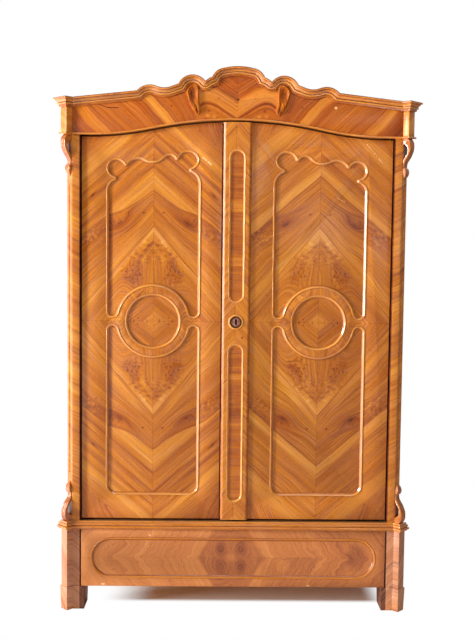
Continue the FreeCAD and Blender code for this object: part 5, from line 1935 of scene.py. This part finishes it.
# ---- doors -------------------------------------------------------------------------------------------------
@dataclass
class FieldBeads:
    """The beads that line the lobed, round and lower fields of a leaf."""

    centre: float = 337.0
    half_width: float = 191.0
    leaf_foot: float = 379.0
    leaf_head: float = 1935.0
    field_foot: float = 99.0
    corner: float = 42.0
    disc_up: float = 1196.0
    disc_radius: float = 113.0
    ring_radius: float = 142.0
    horn_gap: float = 12.0
    lobes: tuple[Point, ...] = ((-0.33, 78.0), (-0.03, 93.0), (0.335, 61.0))
    crest_end: float = 0.88
    hump_end: float = 0.84
    inner_flank: tuple[Point, ...] = (
        (0.0, 185.0), (13.0, 146.0), (39.0, 127.0), (15.0, 109.0), (6.5, 85.0), (45.0, 47.0))
    outer_flank: tuple[Point, ...] = ((1.0, 120.0), (34.0, 164.0), (11.0, 180.0), (0.0, 207.0))
    section: tuple[Point, ...] = (
        (0.1, 17.9), (0.1, 11.8), (0.4, 10.8), (1.1, 10.1), (2.1, 9.8), (3.1, 10.0), (4.3, 10.8),
        (6.0, 12.3), (8.0, 14.2), (9.8, 15.8), (11.0, 16.9), (11.6, 17.5), (11.9, 17.9),
    )

    def horn(self, side: int, up: int) -> tuple[Point, Point, Point]:
        """Rounded end of a field beside the ring: its side point, its tip and where it touches the ring.

        Args:
            side: 1 for the right end, -1 for the left.
            up: 1 for above the ring, -1 for below it.

        Returns:
            The three points.
        """
        half, gap, ring = self.half_width, self.horn_gap, self.ring_radius
        b = 2.0 * (gap - half - ring)
        c = half ** 2 + gap ** 2 - ring ** 2
        radius = (-b - math.sqrt(b * b - 4.0 * c)) / 2.0
        x = -self.centre + side * (half - radius)
        z = self.disc_up + up * (gap + radius)
        share = ring / (ring + radius)
        touch = (-self.centre + share * (x + self.centre), self.disc_up + share * (z - self.disc_up))
        return (-self.centre + side * half, z), (x, z - up * radius), touch

    def lower_field(self) -> Outline:
        """Outline of the field below the disc, on the left leaf.

        Returns:
            The outline.
        """
        foot = self.leaf_foot + self.field_foot
        left, right = -self.centre - self.half_width, -self.centre + self.half_width
        bite = self.corner * (1.0 - SQ)
        start, tip_l, touch_l = self.horn(-1, -1)
        end, tip_r, touch_r = self.horn(1, -1)
        outline = Outline(*start).line(left, foot + self.corner)
        outline.arc((left + bite, foot + bite), (left + self.corner, foot))
        outline.line(right - self.corner, foot)
        outline.arc((right - bite, foot + bite), (right, foot + self.corner))
        outline.line(*end).arc(tip_r, touch_r)
        outline.arc((-self.centre, self.disc_up - self.ring_radius), touch_l)
        return outline.arc(tip_l, start)

    def lobe_circles(self) -> list[tuple[Point, float]]:
        """Three arcs that run smoothly through the lobes of the head, as centre and radius.

        Returns:
            The three circles.
        """
        hump, valley, crest = (
            (-self.centre + share * self.half_width, self.leaf_head - drop) for share, drop in self.lobes)
        rise = hump[1] - valley[1]
        climb = crest[1] - valley[1]
        first = ((valley[0] - hump[0]) ** 2 + rise ** 2) / (2.0 * rise)
        second = ((crest[0] - valley[0]) ** 2 + climb ** 2) / (2.0 * climb)
        small = first / 2.0
        middle = first - small
        large = second - middle
        return [((hump[0], hump[1] - small), small), ((valley[0], valley[1] + middle), middle),
                ((crest[0], crest[1] - large), large)]

    def upper_field(self) -> Outline:
        """Outline of the field above the disc with its lobed head, on the left leaf.

        Returns:
            The outline.
        """
        left, right = -self.centre - self.half_width, -self.centre + self.half_width
        start, tip_l, touch_l = self.horn(-1, 1)
        end, tip_r, touch_r = self.horn(1, 1)
        circles = self.lobe_circles()
        (hump, hump_radius), (valley, valley_radius), (crest, crest_radius) = circles

        def above(centre: Point, radius: float, x: float) -> Point:
            """The upper point of a circle at a place across."""
            return x, centre[1] + math.sqrt(radius ** 2 - (x - centre[0]) ** 2)

        def meeting(a: Point, radius_a: float, b: Point, radius_b: float) -> Point:
            """Where two circles touch."""
            share = radius_a / (radius_a + radius_b)
            return a[0] + share * (b[0] - a[0]), a[1] + share * (b[1] - a[1])

        inner = [(right - run, self.leaf_head - drop) for run, drop in self.inner_flank]
        outer = [(left + run, self.leaf_head - drop) for run, drop in self.outer_flank]
        outline = Outline(*start).arc(tip_l, touch_l)
        outline.arc((-self.centre, self.disc_up + self.ring_radius), touch_r)
        outline.arc(tip_r, end).line(*inner[0])
        outline.arc(inner[1], inner[2]).arc(inner[3], inner[4])
        outline.arc(inner[5], above(crest, crest_radius, crest[0] + self.crest_end * crest_radius))
        outline.arc((crest[0], crest[1] + crest_radius), meeting(crest, crest_radius, valley, valley_radius))
        outline.arc((valley[0], valley[1] - valley_radius), meeting(valley, valley_radius, hump, hump_radius))
        outline.arc((hump[0], hump[1] + hump_radius),
                    above(hump, hump_radius, hump[0] - self.hump_end * hump_radius))
        outline.arc(outer[0], outer[1]).arc(outer[2], outer[3])
        return outline.line(*start)

    def disc(self) -> Outline:
        """Outline of the round field, on the left leaf.

        Returns:
            The outline.
        """
        x, z, radius = -self.centre, self.disc_up, self.disc_radius
        outline = Outline(x + radius, z).arc((x, z + radius), (x - radius, z))
        return outline.arc((x, z - radius), (x + radius, z))

    def build(self, side: Side) -> None:
        """Make the beads of one leaf.

        Args:
            side: the leaf.
        """
        shape = bmesh.new()
        for outline in (self.upper_field(), self.lower_field(), self.disc()):
            run_bead(shape, outline, self.section, twin=side is Side.RIGHT)
        close_up(shape)
        name = side.name.lower()
        add_piece(f"{name}_field_beads", shape, f"{name}_door", BEAD_WOOD, [f"{name}_door_beads"])


@dataclass
class CoverStrip:
    """The strip over the meeting of the doors, the beads of its fields and the ring round the keyhole."""

    half_width: float = 33.0
    fields: tuple[Point, ...] = ((452.0, 1107.0), (1275.0, 1892.0))
    section: tuple[Point, ...] = (
        (0.1, 5.9), (0.1, 1.4), (0.4, 0.6), (1.0, 0.1), (1.8, 0.0), (2.6, 0.3), (3.6, 1.1), (5.2, 2.6),
        (6.6, 4.1), (7.5, 5.3), (7.9, 5.9),
    )
    ring_section: tuple[Point, ...] = (
        (24.0, 1.0), (24.0, -0.4), (24.4, -1.3), (25.4, -1.9), (26.6, -2.0), (28.0, -1.7), (29.4, -1.0),
        (30.4, -0.1), (31.0, 1.0),
    )
    ring_steps: int = 64
    ring_up: float = 1196.0
    ring_hole: float = 24.0
    half_strip: float = 57.0
    foot: float = 379.0
    head_gap: float = 7.0
    head_steps: int = 8
    face: float = 1.0
    ground: float = 6.0
    underside: float = 12.0
    edge_section: tuple[Point, ...] = (
        (0.0, 12.0), (0.0, 7.6), (0.4, 6.8), (1.2, 6.1), (8.4, 1.6), (9.4, 1.1), (10.6, 1.0),
    )
    key_way: Point = (6.0, 12.0)

    def body_outline(self, half: float) -> list[Point]:
        """The strip's outline, this far to either side of the middle, with its head under the arch.

        Args:
            half: half the width.

        Returns:
            Its points.
        """
        top = PLAN.springing + PLAN.arch_rise - self.head_gap
        radius = PLAN.arch_radius()
        across = [half * (1.0 - 2.0 * k / self.head_steps) for k in range(self.head_steps + 1)]
        head = [(x, top - radius + math.sqrt(radius ** 2 - x ** 2)) for x in across]
        return [(-half, self.foot), (half, self.foot), *head]

    def body(self) -> bmesh.types.BMesh:
        """The strip with its bevelled edges, two sunk fields and the round recess of the keyhole.

        Returns:
            The closed mesh.
        """
        shape = bmesh.new()

        def sunk(points: list[Point], backs: Point) -> tuple[Edges, Edges]:
            """Walls round an outline, from one depth to another."""
            return loft(shape, [[place(x, back, z) for x, z in points] for back in backs], loop=True)

        rings = []
        for inwards, back in self.edge_section:
            rings.append([place(x, back, z) for x, z in self.body_outline(self.half_strip - inwards)])
        rear, front = loft(shape, rings, loop=True)
        recess = Outline(self.ring_hole, self.ring_up)
        recess.arc((0.0, self.ring_up + self.ring_hole), (-self.ring_hole, self.ring_up))
        recess.arc((0.0, self.ring_up - self.ring_hole), (self.ring_hole, self.ring_up))
        rims = []
        for low, high in self.fields:
            rim, floor = sunk(self.field_outline(low, high).points, (self.face, self.ground))
            rims.append(rim)
            fill_between(shape, floor)
        rim, floor = sunk(recess.points[:-1], (self.face, self.ground))
        half, tall = self.key_way
        low, high = self.ring_up - tall, self.ring_up + tall
        corners = [(-half, low), (half, low), (half, high), (-half, high)]
        way_front, way_rear = sunk(corners, (self.ground, self.underside))
        fill_between(shape, front, rim, *rims)
        fill_between(shape, floor, way_front)
        fill_between(shape, rear, way_rear)
        close_up(shape)
        return shape

    def field_outline(self, low: float, high: float) -> Outline:
        """A tall oblong with round ends.

        Args:
            low: its lower end.
            high: its upper end.

        Returns:
            The outline.
        """
        half = self.half_width
        outline = Outline(-half, low + half).arc((0.0, low), (half, low + half))
        return outline.line(half, high - half).arc((0.0, high), (-half, high - half))

    def beads(self) -> bmesh.types.BMesh:
        """The beads of both fields.

        Returns:
            The mesh.
        """
        shape = bmesh.new()
        for low, high in self.fields:
            run_bead(shape, self.field_outline(low, high), self.section)
        close_up(shape)
        return shape

    def build(self) -> None:
        """Make the strip, its beads and the ring."""
        ring = turned_on_lathe(self.ring_section, (0.0, self.ring_up), self.ring_steps, hollow=True)
        add_piece("veneered_cover_strip", self.body(), "right_door", STILE_VENEER, ["cover_strip"])
        add_piece("strip_field_beads", self.beads(), "right_door", BEAD_WOOD, ["strip_beads"])
        add_piece("keyhole_ring", ring, "right_door", RING_WOOD, ["escutcheon_ring"])


@dataclass
class DrawerBead:
    """The bead round the long sunk field of the drawer."""

    reach: float = 505.0
    radius: float = 85.0
    middle: float = 216.5
    section: tuple[Point, ...] = (
        (0.1, 5.9), (0.1, 0.3), (0.4, -0.4), (1.1, -0.9), (2.1, -1.0), (3.0, -0.8), (4.2, -0.2), (6.0, 1.0),
        (8.0, 2.5), (9.8, 3.9), (11.0, 4.9), (11.6, 5.5), (11.9, 5.9),
    )

    def build(self) -> None:
        """Make the bead."""
        low, high = self.middle - self.radius, self.middle + self.radius
        outline = Outline(-self.reach, low).line(self.reach, low)
        outline.arc((self.reach + self.radius, self.middle), (self.reach, high)).line(-self.reach, high)
        outline.arc((-self.reach - self.radius, self.middle), (-self.reach, low))
        shape = bmesh.new()
        run_bead(shape, outline, self.section)
        close_up(shape)
        add_piece("drawer_field_bead", shape, "drawer", DULL_BEAD_WOOD, ["drawer_bead"])


# ---- boards ------------------------------------------------------------------------------------------------
@dataclass
class Boards:
    """Boards, posts and ironwork that keep the shape of the frame, their edges eased by use."""

    finishes: dict[str, Finish] = field(default_factory=lambda: {
        finish.slot: finish for finish in (
            DOOR_VENEER, DRAWER_VENEER, FRIEZE_VENEER, STILE_VENEER, MOULDING_WOOD, CARVED_WOOD, SIDE_WOOD,
            FRAME_WOOD, PINE, BRASS, IRON)
    })
    special: dict[str, Finish] = field(default_factory=lambda: {
        "front_foot_left": FOOT_VENEER, "front_foot_right": FOOT_VENEER, "base_front_post_left": FOOT_VENEER,
        "base_front_post_right": FOOT_VENEER, "frieze_block_left": BLOCK_VENEER,
        "frieze_block_right": BLOCK_VENEER})
    easing: dict[str, float] = field(default_factory=lambda: {
        "door_veneer": 0.9, "drawer_veneer": 1.6, "frieze_veneer": 0.9, "stile_veneer": 1.4, "side_wood": 2.0,
        "frame_wood": 1.2, "pine": 1.4, "brass": 0.3, "iron": 0.5})

    def build(self) -> None:
        """Make a softened copy of every piece that no other part has made."""
        slots = {row["node"]: row["material_slot"] for row in frame["record"]["subparts"]}
        for name, node in sorted(frame["nodes"].items()):
            if node.hide_render:
                continue
            finish = self.special.get(name) or self.finishes[slots[name]]
            shape = worn_copy(name, self.easing[slots[name]])
            piece = add_piece(f"eased_{name}", shape, body_of(node)[0], finish, [name])


# ---- studio ------------------------------------------------------------------------------------------------
@dataclass(frozen=True)
class Lamp:
    """A soft lamp: where it hangs, what it points at, its width and height and its power in watts."""

    name: str
    spot: Place
    aim: Place
    size: Point
    power: float

    def hang(self) -> None:
        """Hang the lamp."""
        data = bpy.data.lights.new(self.name, "AREA")
        data.shape = "RECTANGLE"
        data.size, data.size_y = self.size
        data.energy = self.power
        lamp = bpy.data.objects.new(self.name, data)
        turn = (Vector(self.aim) - Vector(self.spot)).to_track_quat("-Z", "Y")
        lamp.matrix_world = Matrix.Translation(self.spot) @ turn.to_matrix().to_4x4()
        bpy.context.collection.objects.link(lamp)


@dataclass
class Studio:
    """Floor, lamps and camera."""

    camera_spot: Place = (-0.0522, -4.0497, 1.4742)
    yaw: float = 0.0148824
    pitch: float = -0.0706340
    roll: float = 0.0114839
    lens: float = 52.78
    sensor: float = 36.0
    surround: float = 0.04
    backdrop: float = 0.40
    backdrop_edge: Point = (-0.2, 0.5)
    floor_reach: float = 30.0
    shade_left: Point = (-570.0, -320.0)
    shade_right: Point = (670.0, 560.0)
    shade_front: Point = (80.0, 124.0)
    shade_rear: Point = (720.0, 560.0)
    floor_colour: tuple[float, float, float, float] = (0.97, 0.90, 0.86, 1.0)
    # Painted light: a faint warm glow that lifts the floor's shadow, as light bounced from the wood would.
    painted_bounce_colour: tuple[float, float, float, float] = (1.0, 0.16, 0.0, 1.0)
    painted_bounce: float = 0.055
    # Painted light: left of this edge the floor glows, seen only in reflections, to put a bright strip into
    # the highlights.
    reflected_glow_edge: Point = (-1000.0, -1500.0)
    reflected_glow: float = 3.0
    lamps: tuple[Lamp, ...] = (
        Lamp("window_left", (-8.6, -3.3, 2.5), (0.0, -0.2, 0.9), (1.5, 4.8), 1260.0),
        Lamp("ceiling_panel", (0.3, -2.3, 4.4), (0.0, 0.0, 0.9), (1.8, 0.9), 36.0),
        Lamp("softbox_right", (1.45, -4.3, 2.35), (0.2, -0.2, 1.2), (0.9, 0.7), 14.0),
    )

    def camera(self) -> None:
        """Set up the camera."""
        data = bpy.data.cameras.new("studio_camera")
        data.lens = self.lens
        data.sensor_width = self.sensor
        camera = bpy.data.objects.new("studio_camera", data)
        level = math.cos(self.pitch)
        forward = Vector((math.sin(self.yaw) * level, math.cos(self.yaw) * level, math.sin(self.pitch)))
        right = forward.cross(Vector((0.0, 0.0, 1.0))).normalized()
        up = right.cross(forward)
        turned = (math.cos(self.roll) * right + math.sin(self.roll) * up,
                  -math.sin(self.roll) * right + math.cos(self.roll) * up)
        camera.matrix_world = Matrix.Translation(self.camera_spot) @ Matrix(
            (turned[0], turned[1], -forward)).transposed().to_4x4()
        bpy.context.collection.objects.link(camera)
        bpy.context.scene.camera = camera

    def floor(self) -> None:
        """Lay the pale floor, which turns into the white of the surroundings further out, with painted light:
        a faint warm glow in the shadow under the cupboard, and a glow to the left that only reflections see.
        """
        shape = bmesh.new()
        bmesh.ops.create_grid(shape, x_segments=1, y_segments=1, size=self.floor_reach)
        mesh = bpy.data.meshes.new("floor")
        shape.to_mesh(mesh)
        shape.free()
        floor = bpy.data.objects.new("floor", mesh)
        paper = bpy.data.materials.new("white_floor")
        paper.use_nodes = True
        tree = paper.node_tree
        tree.nodes.clear()
        x, y, _ = Bench(tree).place()
        covered = x.rise(*self.shade_left) * x.rise(*self.shade_right)
        covered = covered * y.rise(*self.shade_front) * y.rise(*self.shade_rear)
        matt = tree.nodes.new("ShaderNodeBsdfDiffuse")
        matt.inputs["Color"].default_value = self.floor_colour
        glow = tree.nodes.new("ShaderNodeEmission")
        mix = tree.nodes.new("ShaderNodeMixShader")
        rays = tree.nodes.new("ShaderNodeLightPath")
        seen = Wire(tree, rays.outputs["Is Camera Ray"])
        # Painted light: far to the left the floor glows, but only in reflections.
        reflected_strip = Wire(tree, rays.outputs["Is Glossy Ray"]) * x.rise(*self.reflected_glow_edge)
        ((covered * -1.0 + 1.0) * seen).work("MAXIMUM", reflected_strip).feed(mix.inputs[0])
        (reflected_strip * (self.reflected_glow - 1.0) + 1.0).feed(glow.inputs["Strength"])
        # Painted light: a faint warm glow that lifts the shadow under the cupboard.
        bounce_glow = tree.nodes.new("ShaderNodeEmission")
        bounce_glow.inputs["Color"].default_value = self.painted_bounce_colour
        (seen * self.painted_bounce).feed(bounce_glow.inputs["Strength"])
        both = tree.nodes.new("ShaderNodeAddShader")
        tree.links.new(matt.outputs[0], both.inputs[0])
        tree.links.new(bounce_glow.outputs[0], both.inputs[1])
        tree.links.new(both.outputs[0], mix.inputs[1])
        tree.links.new(glow.outputs[0], mix.inputs[2])
        out = tree.nodes.new("ShaderNodeOutputMaterial")
        tree.links.new(mix.outputs[0], out.inputs["Surface"])
        mesh.materials.append(paper)
        bpy.context.collection.objects.link(floor)

    def world(self) -> None:
        """A bright backdrop behind, seen as white, and a dim studio in front."""
        world = bpy.data.worlds.new("studio")
        bpy.context.scene.world = world
        world.use_nodes = True
        tree = world.node_tree
        light = tree.nodes["Background"]
        light.inputs["Color"].default_value = (1.0, 1.0, 1.0, 1.0)
        way = tree.nodes.new("ShaderNodeTexCoord")
        split = tree.nodes.new("ShaderNodeSeparateXYZ")
        tree.links.new(way.outputs["Generated"], split.inputs[0])
        behind = Wire(tree, split.outputs["Y"]).rise(*self.backdrop_edge)
        rays = tree.nodes.new("ShaderNodeLightPath")
        mirrored, passed = (Wire(tree, rays.outputs[f"Is {kind} Ray"]) for kind in ("Glossy", "Transmission"))
        shown = mirrored.work("MAXIMUM", passed)
        lit = behind * self.backdrop + self.surround
        lit = lit.blend(behind * (1.0 - self.surround) + self.surround, shown)
        lit.blend(1.0, Wire(tree, rays.outputs["Is Camera Ray"])).feed(light.inputs["Strength"])

    def build(self) -> None:
        """Set up the studio."""
        self.camera()
        self.floor()
        self.world()
        for lamp in self.lamps:
            lamp.hang()
        bpy.context.scene.view_settings.view_transform = "Standard"


def main() -> None:
    """Build the sub-assemblies in order."""
    logging.basicConfig(level=logging.INFO, format="%(message)s")
    make_grain_effect()
    make_age_effect()
    Studio().build()
    BandMouldings().build()
    Crown().build()
    PinStub().build()
    CarvedDrop().build()
    SCROLLS.build()
    for side in Side:
        FieldBeads().build(side)
    CoverStrip().build()
    DrawerBead().build()
    Boards().build()


if __name__ == "__main__":
    main()
